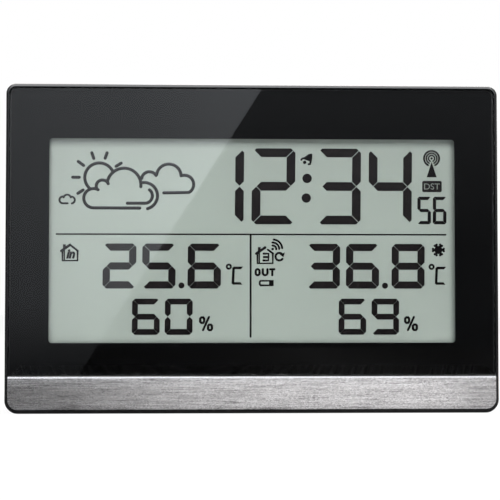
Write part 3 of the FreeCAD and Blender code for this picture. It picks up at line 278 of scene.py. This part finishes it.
def display_film(name, colour):
    """The display's polished front film over its grey-green field: a little paler low down, with painted shade from
    the frame along its top and right edges.
    """
    coat = solid(name, colour, 0.02, uneven=0.012)
    skin = coat.node_tree.nodes["Principled BSDF"]
    skin.inputs["IOR"].default_value = 1.75
    # painted shade: darker towards the window's top edge, where the frame's shadow falls on the film; a little paler
    # towards the bottom
    paler_low_painted_shade_top = stepped(coat, along(coat, "Z"),
                      [(19, 1.15), (22, 1.12), (25, 1.08), (31, 1.04), (60, 1.0), (70.6, 1.01), (71.2, 0.97),
                       (71.7, 0.87), (72.0, 0.78), (72.3, 0.69), (72.7, 0.62), (73.9, 0.64)])
    # painted shade along the window's right edge, where the frame's shadow falls on the film
    painted_shade_right_edge = stepped(coat, along(coat, "X"),
                       [(0, 1.0), (52.7, 1.0), (53.4, 0.95), (53.8, 0.88), (54.2, 0.8), (54.9, 0.7)])
    plain, result = toned(coat, worked_out(coat, "MULTIPLY", paler_low_painted_shade_top, painted_shade_right_edge))
    join_up(coat, skin.inputs["Base Color"].links[0].from_socket, plain)
    join_up(coat, result, skin.inputs["Base Color"])
    return coat


finishes = {
    "case_black": case_plastic("case_black"),
    "key_black": solid("key_black", tint(38, 38, 39), 0.42, grain=0.3, grain_size=0.3),
    "lens_clear": clear_acrylic("lens_clear", (0.985, 0.99, 0.985, 1), 1.49),
    "mask_black": solid("mask_black", tint(12, 12, 13), 0.9, shine=0.0),
    "tape_white": solid("tape_white", tint(222, 222, 216), 0.6),
    "strip_aluminium": brushed_aluminium("strip_aluminium", tint(235, 232, 233), 0.34, 1.26, 0.27, 0.55, 0.4),
    "foam_black": solid("foam_black", tint(30, 30, 30), 0.95, grain=0.8, grain_size=0.2),
    "lcd_film": display_film("lcd_film", tint(189, 199, 192)),
    "lcd_glass": solid("lcd_glass", tint(205, 214, 208), 0.08),
    "lcd_reflector": solid("lcd_reflector", tint(190, 196, 190), 0.35),
    "guide_clear": solid("guide_clear", tint(225, 228, 225), 0.15),
    "lamp_white": solid("lamp_white", tint(235, 232, 205), 0.35),
    "holder_white": solid("holder_white", tint(215, 215, 211), 0.5, grain=0.2),
    "zebra_rubber": solid("zebra_rubber", tint(150, 150, 160), 0.7),
    "board_green": solid("board_green", tint(24, 96, 52), 0.35, uneven=0.12),
    "screw_steel": solid("screw_steel", tint(190, 190, 192), 0.3, metallic=1.0),
    "screw_black": solid("screw_black", tint(70, 70, 72), 0.35, metallic=1.0),
    "resin_black": solid("resin_black", tint(26, 26, 27), 0.4),
    "component_body": solid("component_body", tint(60, 60, 66), 0.45),
    "module_blue": solid("module_blue", tint(28, 62, 120), 0.35, uneven=0.12),
    "aerial_copper": solid("aerial_copper", tint(205, 130, 80), 0.3, metallic=1.0),
    "sensor_white": solid("sensor_white", tint(230, 230, 230), 0.45),
    "switch_black": solid("switch_black", tint(40, 40, 41), 0.5),
    "plunger_white": solid("plunger_white", tint(214, 210, 200), 0.45),
    "ferrite_grey": solid("ferrite_grey", tint(58, 58, 60), 0.6, grain=0.3),
    "cell_wrap": cell_sleeve("cell_sleeve_up", 1),
    "contact_nickel": solid("contact_nickel", tint(205, 200, 190), 0.28, metallic=1.0),
    "lead_red": solid("lead_red", tint(170, 24, 22), 0.5),
    "lead_black": solid("lead_black", tint(34, 34, 35), 0.5),
}
display_ink = solid("display_ink", tint(34, 29, 30), 0.02, uneven=0.03)
sign_ink = solid("sign_ink", tint(14, 9, 11), 0.02, uneven=0.03)
plate_light = solid("plate_light", tint(140, 147, 142), 0.2, uneven=0.03)
rear_print = solid("rear_print", tint(190, 190, 190), 0.6, uneven=0.03)

slots = {part["node"]: part["material_slot"] for part in frame["record"]["subparts"]}
for name, part in parts.items():
    part.data.materials.clear()
    part.data.materials.append(finishes[slots[name]])


def second_finish(part_name, coat, faces):
    """Gives some of a part's faces a finish of their own, chosen by their normal."""
    mesh = parts[part_name].data
    mesh.materials.append(coat)
    for face in mesh.polygons:
        if faces(face.normal):
            face.material_index = len(mesh.materials) - 1


second_finish("front_lens", taped_back("lens_back"), lambda way: way.y > 0.9)
second_finish("trim_strip", brushed_aluminium("strip_cut_edge", tint(236, 237, 242), 0.97, 1.02, 0.12, 0.02, 0.03),
              lambda way: way.z > 0.4 and way.y < -0.4)
parts["battery_right"].data.materials[0] = cell_sleeve("cell_sleeve_down", -1)
for cell in ("battery_left", "battery_right"):
    second_finish(cell, finishes["screw_steel"], lambda way: abs(way.z) > 0.7)


# ---------------------------------------------------------------- Shaping by hand
def pick_only(pieces):
    bpy.ops.object.select_all(action="DESELECT")
    for piece in pieces:
        piece.select_set(True)
    bpy.context.view_layer.objects.active = pieces[0]


def all_in_edit(piece):
    pick_only([piece])
    bpy.ops.object.mode_set(mode="EDIT")
    bpy.ops.mesh.select_all(action="SELECT")


def back_to_object():
    bpy.ops.object.mode_set(mode="OBJECT")


def settle():
    """Puts the active piece's place and size into its mesh."""
    bpy.ops.object.transform_apply(location=True, rotation=True, scale=True)
    return bpy.context.object


def upright_plate(x0, x1, z0, z1):
    """A flat plate at the ink's front, facing the front."""
    bpy.ops.object.select_all(action="DESELECT")
    bpy.ops.mesh.primitive_plane_add(size=1, location=((x0 + x1) / 2 * MM, ink_front, (z0 + z1) / 2 * MM),
                                     rotation=(QUARTER, 0, 0))
    bpy.context.object.scale = ((x1 - x0) * MM, (z1 - z0) * MM, 1)
    return settle()


def upright_disc(x, z, radius):
    bpy.ops.object.select_all(action="DESELECT")
    bpy.ops.mesh.primitive_circle_add(vertices=40, radius=radius * MM, fill_type="NGON",
                                      location=(x * MM, ink_front, z * MM), rotation=(QUARTER, 0, 0))
    return settle()


def trim(plate, x, z, away):
    """Cuts off what lies beyond a line through x, z, on the side that away points to."""
    all_in_edit(plate)
    way = Vector((away[0], 0, away[1])).normalized()
    bpy.ops.mesh.bisect(plane_co=(x * MM, 0, z * MM), plane_no=way, clear_outer=True, threshold=hair)
    back_to_object()


def thicken(plate):
    """Draws a flat plate out backwards by the ink's depth and closes it."""
    all_in_edit(plate)
    bpy.ops.mesh.extrude_region_move(TRANSFORM_OT_translate={"value": (0, ink_depth, 0)})
    bpy.ops.mesh.select_all(action="SELECT")
    bpy.ops.mesh.normals_make_consistent(inside=False)
    back_to_object()
    return plate


def round_corners(plate, radius):
    all_in_edit(plate)
    bpy.ops.mesh.bevel(offset=radius * MM, segments=4, affect="VERTICES")
    back_to_object()


def copy_of(piece):
    """A copy with a mesh of its own."""
    twin = piece.copy()
    twin.data = piece.data.copy()
    bpy.context.scene.collection.objects.link(twin)
    return twin


def mirrored(piece, across, up):
    """A copy turned over about the origin: across by X, up by Z."""
    twin = copy_of(piece)
    all_in_edit(twin)
    bpy.ops.transform.resize(value=(-1 if across else 1, 1, -1 if up else 1), center_override=(0, 0, 0))
    bpy.ops.mesh.normals_make_consistent(inside=False)
    back_to_object()
    return twin


def shifted(piece, x, z):
    piece.data.transform(Matrix.Translation((x * MM, 0, z * MM)))
    return piece


def welded(name, pieces, coat, body):
    """Joins what was drawn into one piece, with its finish and body."""
    pick_only(pieces)
    if len(pieces) > 1:
        bpy.ops.object.join()
    piece = bpy.context.object
    piece.name = name
    piece.data.name = name
    piece.data.materials.clear()
    piece.data.materials.append(coat)
    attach(piece, body)
    return piece


def on_display(name, pieces, coat):
    return welded(name, pieces, coat, "case")


# ---------------------------------------------------------------- Seven-bar figures
bars_lit = {"0": "abcdef", "1": "bc", "2": "abged", "3": "abgcd", "4": "fgbc", "5": "afgcd", "6": "afgedc",
            "8": "abcdefg", "9": "abcdfg"}
figure_lean = 0.6                           # degrees, to the right
figure_edge = 0.34                          # the dark edge round a figure's core


def bars(width, height, bar, gap):
    """The seven bars of an eight about the origin, mitred where they meet, with their outer corners cut."""
    side, top, half = width / 2, height / 2, bar / 2
    slit, cut = gap * 0.7, half             # how far a bar's end stays off the mitre, and what a corner loses
    upper = upright_plate(-side, side, top - bar, top)
    middle = upright_plate(-side, side, -half, half)
    left = upright_plate(-side, -side + bar, 0, top)
    for way in (-1, 1):
        trim(upper, way * (side - slit), top, (way, -1))
        trim(upper, way * (side - cut), top, (way, 1))
        trim(middle, way * (side - half - slit), 0, (way, 1))
        trim(middle, way * (side - half - slit), 0, (way, -1))
        trim(left, -side + half, slit, (way, -1))
    trim(left, -side, top - slit, (1, 1))
    trim(left, -side, top - cut, (-1, 1))
    for plate in (upper, middle, left):
        thicken(plate)
    return {"a": upper, "d": mirrored(upper, False, True), "g": middle, "f": left,
            "b": mirrored(left, True, False), "e": mirrored(left, False, True), "c": mirrored(left, True, True)}


def leaning(angle):
    """Leans what stands on the origin's height to the right, by degrees."""
    lean = Matrix.Identity(4)
    lean[0][2] = math.tan(math.radians(angle))
    return lean


def figures(name, sizes, places, low, coat, dots=()):
    """Figures of one size and the dots between them: places gives each digit and the middle of its cell."""
    eight = bars(*sizes)
    drawn = [dot(*place) for place in dots]
    for digit, x in places:
        for letter in bars_lit[digit]:
            twin = copy_of(eight[letter])
            twin.data.transform(leaning(figure_lean))
            drawn.append(shifted(twin, x, low + sizes[1] / 2))
    for plate in eight.values():
        bpy.data.objects.remove(plate)
    return on_display(name, drawn, coat)


def dot(x, z, radius):
    return thicken(upright_disc(x, z, radius))


def edged_figures(name, sizes, places, low, dots=()):
    """Figures and dots drawn dark, and on them their cores, a little paler, which leave a dark edge all round."""
    width, height, bar, gap = sizes
    edge, both = figure_edge, 2 * figure_edge
    figures(name, sizes, places, low, sign_ink, dots)
    cores = figures(name + "_cores", (width - both, height - both, bar - both, gap + both), places, low + edge,
                    display_ink, [(x, z, radius - edge) for x, z, radius in dots])
    cores.data.transform(Matrix.Translation((0, -core_step, 0)))


# Each cell is a figure's width, its height, the width of its bars and the gap between them.
time_cell, seconds_cell = (11.75, 20.6, 2.37, 0.17), (3.72, 7.5, 0.9, 0.03)
small_cell, share_cell = (8.98, 12.12, 1.95, 0.08), (7.46, 9.72, 1.56, 0.04)
small_low, share_low = 33.28, 20.84
edged_figures("time_figures", time_cell, (("1", -8.27), ("2", 5.63), ("3", 23.46), ("4", 37.37)), 50.66,
              ((14.75, 63.13, 1.28), (14.52, 57.8, 1.28)))
figures("seconds_figures", seconds_cell, (("5", 46.6), ("6", 50.83)), 50.75, sign_ink)
edged_figures("inside_temperature", small_cell, (("2", -35.85), ("5", -25.26), ("6", -13.04)), small_low,
              ((-19.2, 34.12, 0.82),))
edged_figures("outside_temperature", small_cell, (("3", 19.15), ("6", 29.77), ("8", 42.15)), small_low,
              ((35.84, 34.08, 0.82),))
edged_figures("inside_humidity", share_cell, (("6", -28.73), ("0", -19.92)), share_low)
edged_figures("outside_humidity", share_cell, (("6", 26.99), ("9", 35.89)), share_low)


# ---------------------------------------------------------------- Drawn lines and signs
def bow(x, z, radius, start, end, steps=28):
    """Points on a circle from start to end, in degrees."""
    turns = [math.radians(start + (end - start) * step / steps) for step in range(steps + 1)]
    return [(x + radius * math.cos(turn), z + radius * math.sin(turn)) for turn in turns]


def pen_lines(width, runs):
    """Flat lines with round ends: round wires bent along the runs, a bead at each end, all pressed flat."""
    bend = bpy.data.curves.new("pen_line", "CURVE")
    bend.dimensions = "3D"
    bend.bevel_depth = width / 2 * MM
    bend.bevel_resolution = 2
    bend.use_fill_caps = True
    for run in runs:
        wire = bend.splines.new("POLY")
        wire.points.add(len(run) - 1)
        for knot, (x, z) in zip(wire.points, run):
            knot.co = (x * MM, ink_middle, z * MM, 1)
    line = bpy.data.objects.new("pen_line", bend)
    bpy.context.scene.collection.objects.link(line)
    pick_only([line])
    bpy.ops.object.convert(target="MESH")
    line = bpy.context.object
    bpy.ops.object.select_all(action="DESELECT")
    bpy.ops.mesh.primitive_uv_sphere_add(segments=12, ring_count=8, radius=width / 2 * MM,
                                         location=(0, ink_middle, 0))
    bead = settle()
    ends = [end for run in runs for end in (run[0], run[-1])]
    beads = [shifted(copy_of(bead), x, z) for x, z in ends]
    bpy.data.objects.remove(bead)
    pick_only([line] + beads)
    bpy.ops.object.join()
    all_in_edit(line)
    bpy.ops.transform.resize(value=(1, ink_depth / (width * MM), 1), center_override=(0, ink_middle, 0))
    back_to_object()
    bpy.ops.object.shade_smooth_by_angle(angle=math.radians(40))
    return line


def loop(x, z, radius, start=0, end=360):
    return bow(x, z, radius, start, end, 36)


def degree_sign(x, letter_x):
    """A small ring, and a C made of three bars that leans to the right."""
    ring = pen_lines(0.56, [loop(x, 39.2, 0.56)])
    left, top, foot, middle, bar = letter_x - 1.5, 39.22, 34.32, 36.74, 0.7
    upper = upright_plate(left + bar * 0.4, left + 2.92, top - bar, top)
    trim(upper, left + 2.92, top, (1, -0.8))
    lower = upright_plate(left + bar * 0.4, left + 2.9, foot, foot + bar)
    trim(lower, left + 2.9, foot, (1, 0.8))
    upright = upright_plate(left, left + bar, foot + 0.25, top - 0.25)
    drawn = [thicken(plate) for plate in (upper, lower, upright)]
    for plate in drawn:
        shifted(plate, 0, -middle).data.transform(leaning(2.5))
        shifted(plate, 0, middle)
    return [ring] + drawn


def percent_sign(left):
    """Two small rings with cut corners, one above the other's right, and a stroke between them."""
    upper = [(left + 0.3, 24.4), (left + 0.3, 25.2), (left + 0.6, 25.5), (left + 1.1, 25.5), (left + 1.35, 25.2),
             (left + 1.35, 24.4), (left + 1.1, 24.05), (left + 0.6, 24.05), (left + 0.3, 24.4)]
    lower = [(x + 2.1, z - 1.95) for x, z in upper]
    return [pen_lines(0.7, [upper, lower]), pen_lines(0.62, [[(left + 1.05, 22.1), (left + 2.65, 25.6)]])]


def sun_and_clouds():
    """A sun behind two clouds, a small cloud beside them."""
    sun = [bow(-41.33, 63.2, 3.93, 25, 227, 40), [(-43.4, 69.88), (-42.87, 68.35)], [(-39.3, 69.88), (-39.82, 68.4)],
           [(-35.52, 67.1), (-36.87, 66.25)], [(-47.05, 67.5), (-45.6, 66.45)], [(-48.5, 63.25), (-46.75, 63.25)],
           [(-47.1, 58.9), (-45.7, 59.8)]]
    front = [[(-30.45, 54.97)] + bow(-42.9, 57.6, 2.6, 270, 62), bow(-40.5, 60.85, 1.68, 200, 24),
             bow(-34.72, 61.2, 4.55, 170, -6, 36), bow(-29.3, 58.3, 3.6, 95, -75),
             [(-33.8, 56.28)] + bow(-29.1, 58.3, 2.02, -90, 52)]
    behind = [bow(-27.9, 62.7, 2.1, 172, 31), bow(-22.65, 63.6, 3.3, 172, 2),
              bow(-18.45, 61.4, 2.5, 105, -60) + [(-24.0, 59.1)]]
    small = [[(-49.85, 56.2)] + bow(-51.1, 57.12, 0.92, 270, 75), bow(-49.95, 57.55, 0.98, 165, 15),
             bow(-48.85, 57.08, 0.92, 100, -80)]
    return [pen_lines(0.85, sun + front + behind), pen_lines(0.55, small)]


def house(x, wide, low, high, roof_break):
    """A small house: chimney, roof, a doubled left wall, floor and right wall; x is its left wall."""
    eaves = high - 1.62
    chimney = thicken(upright_plate(x + 0.12, x + 0.88, high - 1.15, high + 0.12))
    roof = pen_lines(0.72, [[(x - 0.3, eaves - 0.02), (x + wide / 2, high)]])
    inner_wall = pen_lines(0.4, [[(x + 0.5, eaves + 0.3), (x + 0.5, low)]])
    walls = [[(x, eaves), (x, low), (x + wide, low), (x + wide, eaves)],
             [(x + wide / 2 + roof_break, high - roof_break * 0.8), (x + wide + 0.08, eaves)]]
    return [chimney, roof, inner_wall, pen_lines(0.54, walls)]


def outside_signs():
    """The house with its channel, signal arcs, a turning arrow, the word under it and a cell with its charge."""
    channel = pen_lines(0.6, [[(2.98, 42.72), (4.3, 42.72), (4.22, 40.88), (2.9, 40.88)],
                              [(3.05, 41.8), (4.22, 41.8)]])
    signal = pen_lines(0.56, [bow(5.4, 43.95, 0.97, -2, 92), bow(5.4, 43.95, 1.78, 2, 92),
                              bow(5.4, 43.95, 2.6, 6, 84)])
    turning = pen_lines(0.6, [bow(7.2, 41.9, 1.02, -35, -305)])
    head = upright_plate(7.2, 8.78, 41.7, 43.1)
    trim(head, 7.26, 42.54, (-0.52, 1.48))
    trim(head, 7.26, 42.54, (-0.81, -1.03))
    trim(head, 8.74, 43.06, (1.33, -0.45))
    cell = pen_lines(0.56, [[(2.15, 34.15), (5.48, 34.15), (5.48, 35.38), (2.15, 35.38), (1.9, 35.1), (1.9, 34.45),
                             (2.15, 34.15)]])
    charge = thicken(upright_plate(4.4, 5.45, 34.2, 35.33))
    word = pen_lines(0.62, [bow(1.33, 38.0, 0.5, 0, 180) + bow(1.33, 37.4, 0.5, 180, 360) + [(1.83, 38.0)],
                            [(2.74, 38.49)] + bow(3.36, 37.53, 0.62, 180, 360) + [(3.98, 38.49)],
                            [(4.74, 38.49), (5.87, 38.49)], [(5.3, 38.49), (5.3, 36.91)]])
    drawn = [channel, signal, dot(5.4, 43.95, 0.36), turning, thicken(head), cell, charge, word]
    return house(1.28, 4.15, 40.1, 44.37, 0.75) + drawn


def mast_sign():
    """A mast with three open rings round its head."""
    mast = upright_plate(47.3, 50.1, 63.55, 67.75)
    trim(mast, 48.7, 67.75, (-4.2, 1.36))
    trim(mast, 48.7, 67.75, (4.2, 1.36))
    rings = [pen_lines(width, [loop(48.7, 68.68, radius, -62, 242)])
             for radius, width in ((2.06, 0.55), (1.44, 0.46), (0.84, 0.42))]
    return rings + [thicken(mast), dot(48.7, 68.68, 0.32)]


def bell_sign():
    """A small bell tipped over to the right, with its clapper."""
    bell = upright_plate(13.5, 16.15, 67.5, 69.8)
    trim(bell, 13.59, 68.42, (-1.18, 1.45))
    trim(bell, 13.59, 68.42, (-0.79, -2.24))
    trim(bell, 15.83, 67.63, (2.16, -0.27))
    rims = pen_lines(0.58, [[(15.9, 69.62), (15.2, 69.45), (14.2, 68.72), (13.4, 68.5), (13.22, 68.2)],
                            [(15.9, 69.62), (15.86, 68.7), (15.72, 67.7), (15.55, 67.02), (15.2, 66.98)]])
    return [thicken(bell), rims, dot(14.1, 67.5, 0.47)]


def flake_sign():
    """A round core with six forked arms."""
    x, z, spread = 50.42, 43.77, 11
    arms = []
    for ahead in range(0, 360, 60):
        fork = ((1.5, ahead - spread), (1.15, ahead), (1.5, ahead + spread))
        arms.append([(x + reach * math.cos(math.radians(turn)), z + reach * math.sin(math.radians(turn)))
                     for reach, turn in fork])
    return [dot(x, z, 1.1), pen_lines(0.68, arms)]


def lettering(name, text, x, z, width, height, y, coat, bold=0.0, slant=0.0, facing=-1):
    """Flat letters, centred on x and z; facing is -1 towards the front and 1 towards the back."""
    bpy.ops.object.select_all(action="DESELECT")
    bpy.ops.object.text_add()
    letters = bpy.context.object
    letters.data.body = text
    letters.data.align_x, letters.data.align_y = "CENTER", "CENTER"
    letters.data.offset = bold
    letters.data.shear = slant
    letters.data.extrude = 0.5              # to each side, so the letters are 1 thick until they get their size
    bpy.ops.object.convert(target="MESH")
    letters = bpy.context.object
    spots = [corner.co for corner in letters.data.vertices]
    low = Vector([min(spot[axis] for spot in spots) for axis in range(3)])
    high = Vector([max(spot[axis] for spot in spots) for axis in range(3)])
    centre = (low + high) / 2
    tall = height / (high.y - low.y) * MM
    wide = width / (high.x - low.x) * MM if width else tall
    size = Matrix.Diagonal((wide, tall, ink_depth, 1)) @ Matrix.Translation(-centre)
    stand = Matrix.Rotation(math.pi if facing > 0 else 0, 4, "Z") @ Matrix.Rotation(QUARTER, 4, "X")
    letters.data.transform(Matrix.Translation((x * MM, y, z * MM)) @ stand @ size)
    return welded(name, [letters], coat, "case")


on_display("dividing_lines", [thicken(upright_plate(-52.95, 52.62, 47.7, 48.11)),
                              thicken(upright_plate(-0.81, -0.31, 20.1, 47.9))], sign_ink)
on_display("weather_sign", sun_and_clouds(), sign_ink)
on_display("inside_signs", house(-51.15, 4.05, 40.78, 45.02, 0.0) + degree_sign(-6.45, -4.1) + percent_sign(-14.43),
           sign_ink)
on_display("outside_signs", outside_signs() + degree_sign(48.55, 51.0) + percent_sign(41.0), sign_ink)
on_display("mast_sign", mast_sign(), sign_ink)
on_display("bell_sign", bell_sign(), sign_ink)
on_display("flake_sign", flake_sign(), sign_ink)
summer_plate = upright_plate(46.1, 51.44, 59.5, 62.55)
round_corners(summer_plate, 0.45)
on_display("summer_time_plate", [thicken(summer_plate)], display_ink)
lettering("summer_time_letters", "DST", 48.75, 61.03, 4.3, 1.65, ink_front - ink_depth, plate_light)
lettering("in_letters", "in", -48.95, 42.57, 2.42, 2.5, ink_middle, sign_ink, 0.05, 0.25)


# ---------------------------------------------------------------- Words beside the rear keys
panel_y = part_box("set_key")[1].y - 0.8 * MM     # the keys stand this far out of their panel
word_rise = 1.6                                 # from a key's top to its word's middle
dash_width = 1.5
for key, word, high_word in (("set_key", "SET", 1.7), ("alarm_key", "ALARM", 1.7), ("channel_key", "CH", 1.7),
                             ("up_key", "+", 1.5), ("down_key", "-", 0.4), ("unit_key", "C / F", 1.8)):
    low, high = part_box(key)
    lettering("word_" + key, word, (low.x + high.x) / 2 / MM, high.z / MM + word_rise,
              dash_width if word == "-" else None, high_word, panel_y, rear_print, 0.01, facing=1)


# ---------------------------------------------------------------- Table, cards, lamps, sky and camera
def sight_rays(tree):
    """1 for what the camera, a mirror or glass shows, 0 for what lights the object."""
    rays = tree.nodes.new("ShaderNodeLightPath")
    shown = rays.outputs["Is Camera Ray"]
    for kind in ("Is Glossy Ray", "Is Transmission Ray"):
        both = tree.nodes.new("ShaderNodeMath")
        both.operation = "MAXIMUM"
        tree.links.new(shown, both.inputs[0])
        tree.links.new(rays.outputs[kind], both.inputs[1])
        shown = both.outputs["Value"]
    return shown


def white_table():
    """A white table, 8 m wide, that keeps a faint shadow."""
    coat, skin = finish("table_white")
    skin.inputs["Base Color"].default_value = (0.86, 0.86, 0.86, 1)
    skin.inputs["Roughness"].default_value = 0.8
    white_share = 0.93
    glow = node(coat, "ShaderNodeEmission", Color=WHITE, Strength=1.0)
    mixed = node(coat, "ShaderNodeMixShader")
    share = node(coat, "ShaderNodeMath", operation="MULTIPLY")
    share.inputs[1].default_value = white_share
    join_up(coat, sight_rays(coat.node_tree), share.inputs[0])
    join_up(coat, share.outputs["Value"], mixed.inputs["Fac"])
    join_up(coat, skin.outputs["BSDF"], mixed.inputs[1])
    join_up(coat, glow.outputs["Emission"], mixed.inputs[2])
    surface_of(coat, mixed.outputs["Shader"])
    bpy.ops.object.select_all(action="DESELECT")
    bpy.ops.mesh.primitive_plane_add(size=8, location=(0, 0, 0))
    table = bpy.context.object
    table.name = "table"
    table.data.materials.append(coat)
    table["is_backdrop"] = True


def mirror_card(name, corners, coat):
    """A card that only shows up in the object's gloss; corners gives its two lower or front corners first."""
    bpy.ops.object.select_all(action="DESELECT")
    bpy.ops.mesh.primitive_plane_add(size=1)
    card = bpy.context.object
    card.name = name
    for corner, place in zip(card.data.vertices, corners):
        corner.co = Vector(place) * MM
    card.data.materials.append(coat)
    card.visible_camera = card.visible_diffuse = card.visible_transmission = card.visible_shadow = False
    card.visible_volume_scatter = False
    card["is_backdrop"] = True


def card_light(name, axis, stops, colour=WHITE, across=()):
    """A card's plain light: stops gives its strength along one axis, and across a second factor along X."""
    coat, skin = finish(name)
    coat.node_tree.nodes.remove(skin)
    strength = stepped(coat, along(coat, axis), stops)
    if across:
        strength = worked_out(coat, "MULTIPLY", strength, stepped(coat, along(coat, "X"), across))
    glow = node(coat, "ShaderNodeEmission", Color=colour)
    join_up(coat, strength, glow.inputs["Strength"])
    surface_of(coat, glow.outputs["Emission"])
    return coat


def studio_cards():
    """The dark room in front of the station, the lit window in it, and cards beside, before and above the station."""
    daylight = (0.95, 1.0, 1.06, 1)
    wall_y, window_y = -601, -600
    room = card_light("room_dark", "Z", [(0, 0.05), (70, 0.07), (180, 0.25), (205, 0.5), (235, 5.0), (400, 5.5)],
                      daylight)
    mirror_card("room_card", [(-400, wall_y, 0), (500, wall_y, 0), (-400, wall_y, 400), (500, wall_y, 400)], room)
    window = card_light("window_light", "Z",
                        [(0, 0.27), (12, 0.42), (33, 0.64), (81, 0.78), (101, 0.85), (135, 0.93), (170, 1.06),
                         (205, 1.3), (235, 5.0), (400, 5.5)], daylight,
                        [(-300, 0.8), (-140, 0.9), (-60, 1.03), (0, 1.28), (40, 1.32), (150, 1.3)])
    mirror_card("window_card", [(-400, window_y, 0), (-84.4, window_y, 0), (-400, window_y, 350),
                                (138.3, window_y, 350)], window)
    sheet = card_light("table_sheet", "X", [(-400, 0.04), (-60, 0.03), (0, 0.06), (52, 0.15), (110, 0.07),
                                            (500, 0.05)])
    mirror_card("sheet_card", [(-400, -600, 0.05), (500, -600, 0.05), (-400, 30, 0.05), (500, 30, 0.05)], sheet)
    shine = card_light("window_on_table", "Y", [(-600, 0.26), (-300, 0.17), (-20, 0.12)], daylight)
    mirror_card("table_shine_card", [(-400, -600, 0.08), (-84.4, -600, 0.08), (-400, -20, 0.08), (-53, -20, 0.08)],
                shine)
    before_strip = card_light("strip_light", "X", [(-90, 0.12), (-66, 0.11), (-50, 0.18), (-25, 0.45), (0, 0.68),
                                                   (25, 0.75), (52, 0.78), (62, 0.5), (90, 0.42)])
    mirror_card("strip_card", [(-90, -20, 0.9), (90, -20, 0.9), (-90, -20, 9.5), (90, -20, 9.5)], before_strip)
    over = card_light("over_light", "Y", [(-800, 5.5), (100, 6.5)])
    mirror_card("over_card", [(-500, -800, 450), (500, -800, 450), (-500, -170, 850), (500, -170, 850)], over)
    mirror_card("far_over_card", [(-500, 40, 900), (500, 40, 900), (-500, 400, 900), (500, 400, 900)], over)
    left = card_light("left_dark", "Z", [(0, 0.02), (300, 0.1)])
    mirror_card("left_card", [(-300, -400, 0), (-300, 600, 0), (-300, -400, 300), (-300, 600, 300)], left)
    right = card_light("right_fade", "Z", [(0, 0.05), (60, 0.2), (90, 0.5), (300, 0.6)])
    mirror_card("right_card", [(300, -400, 0), (300, 600, 0), (300, -400, 300), (300, 600, 300)], right)


def lamp(name, place, size, power, mirrored_too):
    """A soft lamp aimed at the station; the cards take its place in the gloss where mirrored_too is off."""
    bpy.ops.object.select_all(action="DESELECT")
    bpy.ops.object.light_add(type="AREA", location=place)
    light = bpy.context.object
    light.name = name
    light.data.shape = "RECTANGLE"
    light.data.size, light.data.size_y = size
    light.data.energy = power
    light.visible_glossy = mirrored_too
    station_middle = Vector((0, 0, 0.044))
    light.rotation_euler = (station_middle - Vector(place)).to_track_quat("-Z", "Y").to_euler()


def white_sky():
    """Soft light from all round, and plain white where the camera or a mirror looks past the table."""
    sky = bpy.data.worlds.new("white_sky")
    sky.use_nodes = True
    bpy.context.scene.world = sky
    tree = sky.node_tree
    tree.nodes.clear()
    last = tree.nodes.new("ShaderNodeOutputWorld")
    choose = tree.nodes.new("ShaderNodeMixShader")
    tree.links.new(sight_rays(tree), choose.inputs["Fac"])
    for place, strength in ((1, 0.12), (2, 1.0)):
        light = tree.nodes.new("ShaderNodeBackground")
        light.inputs["Color"].default_value = WHITE
        light.inputs["Strength"].default_value = strength
        tree.links.new(light.outputs["Background"], choose.inputs[place])
    tree.links.new(choose.outputs["Shader"], last.inputs["Surface"])


white_table()
studio_cards()
lamp("front_lamp", (0, -0.72, 0.86), (1.8, 1.2), 28, False)
lamp("top_lamp", (0.1, 0.1, 0.9), (0.8, 0.8), 4, False)
lamp("back_lamp", (0.3, 0.8, 0.5), (0.8, 0.8), 9, True)
white_sky()

# The camera stands a little low and to the left, and looks slightly up and to the right.
bpy.ops.object.camera_add(location=(-0.014619, -0.38865, 0.028538), rotation=(QUARTER + 0.040, 0, -0.0367))
camera = bpy.context.object
camera.data.sensor_width = 36
camera.data.lens = 101.052
camera.data.clip_start = 0.01
camera.data.clip_end = 20
bpy.context.scene.camera = camera
bpy.context.scene.view_settings.view_transform = "Standard"

low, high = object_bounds()
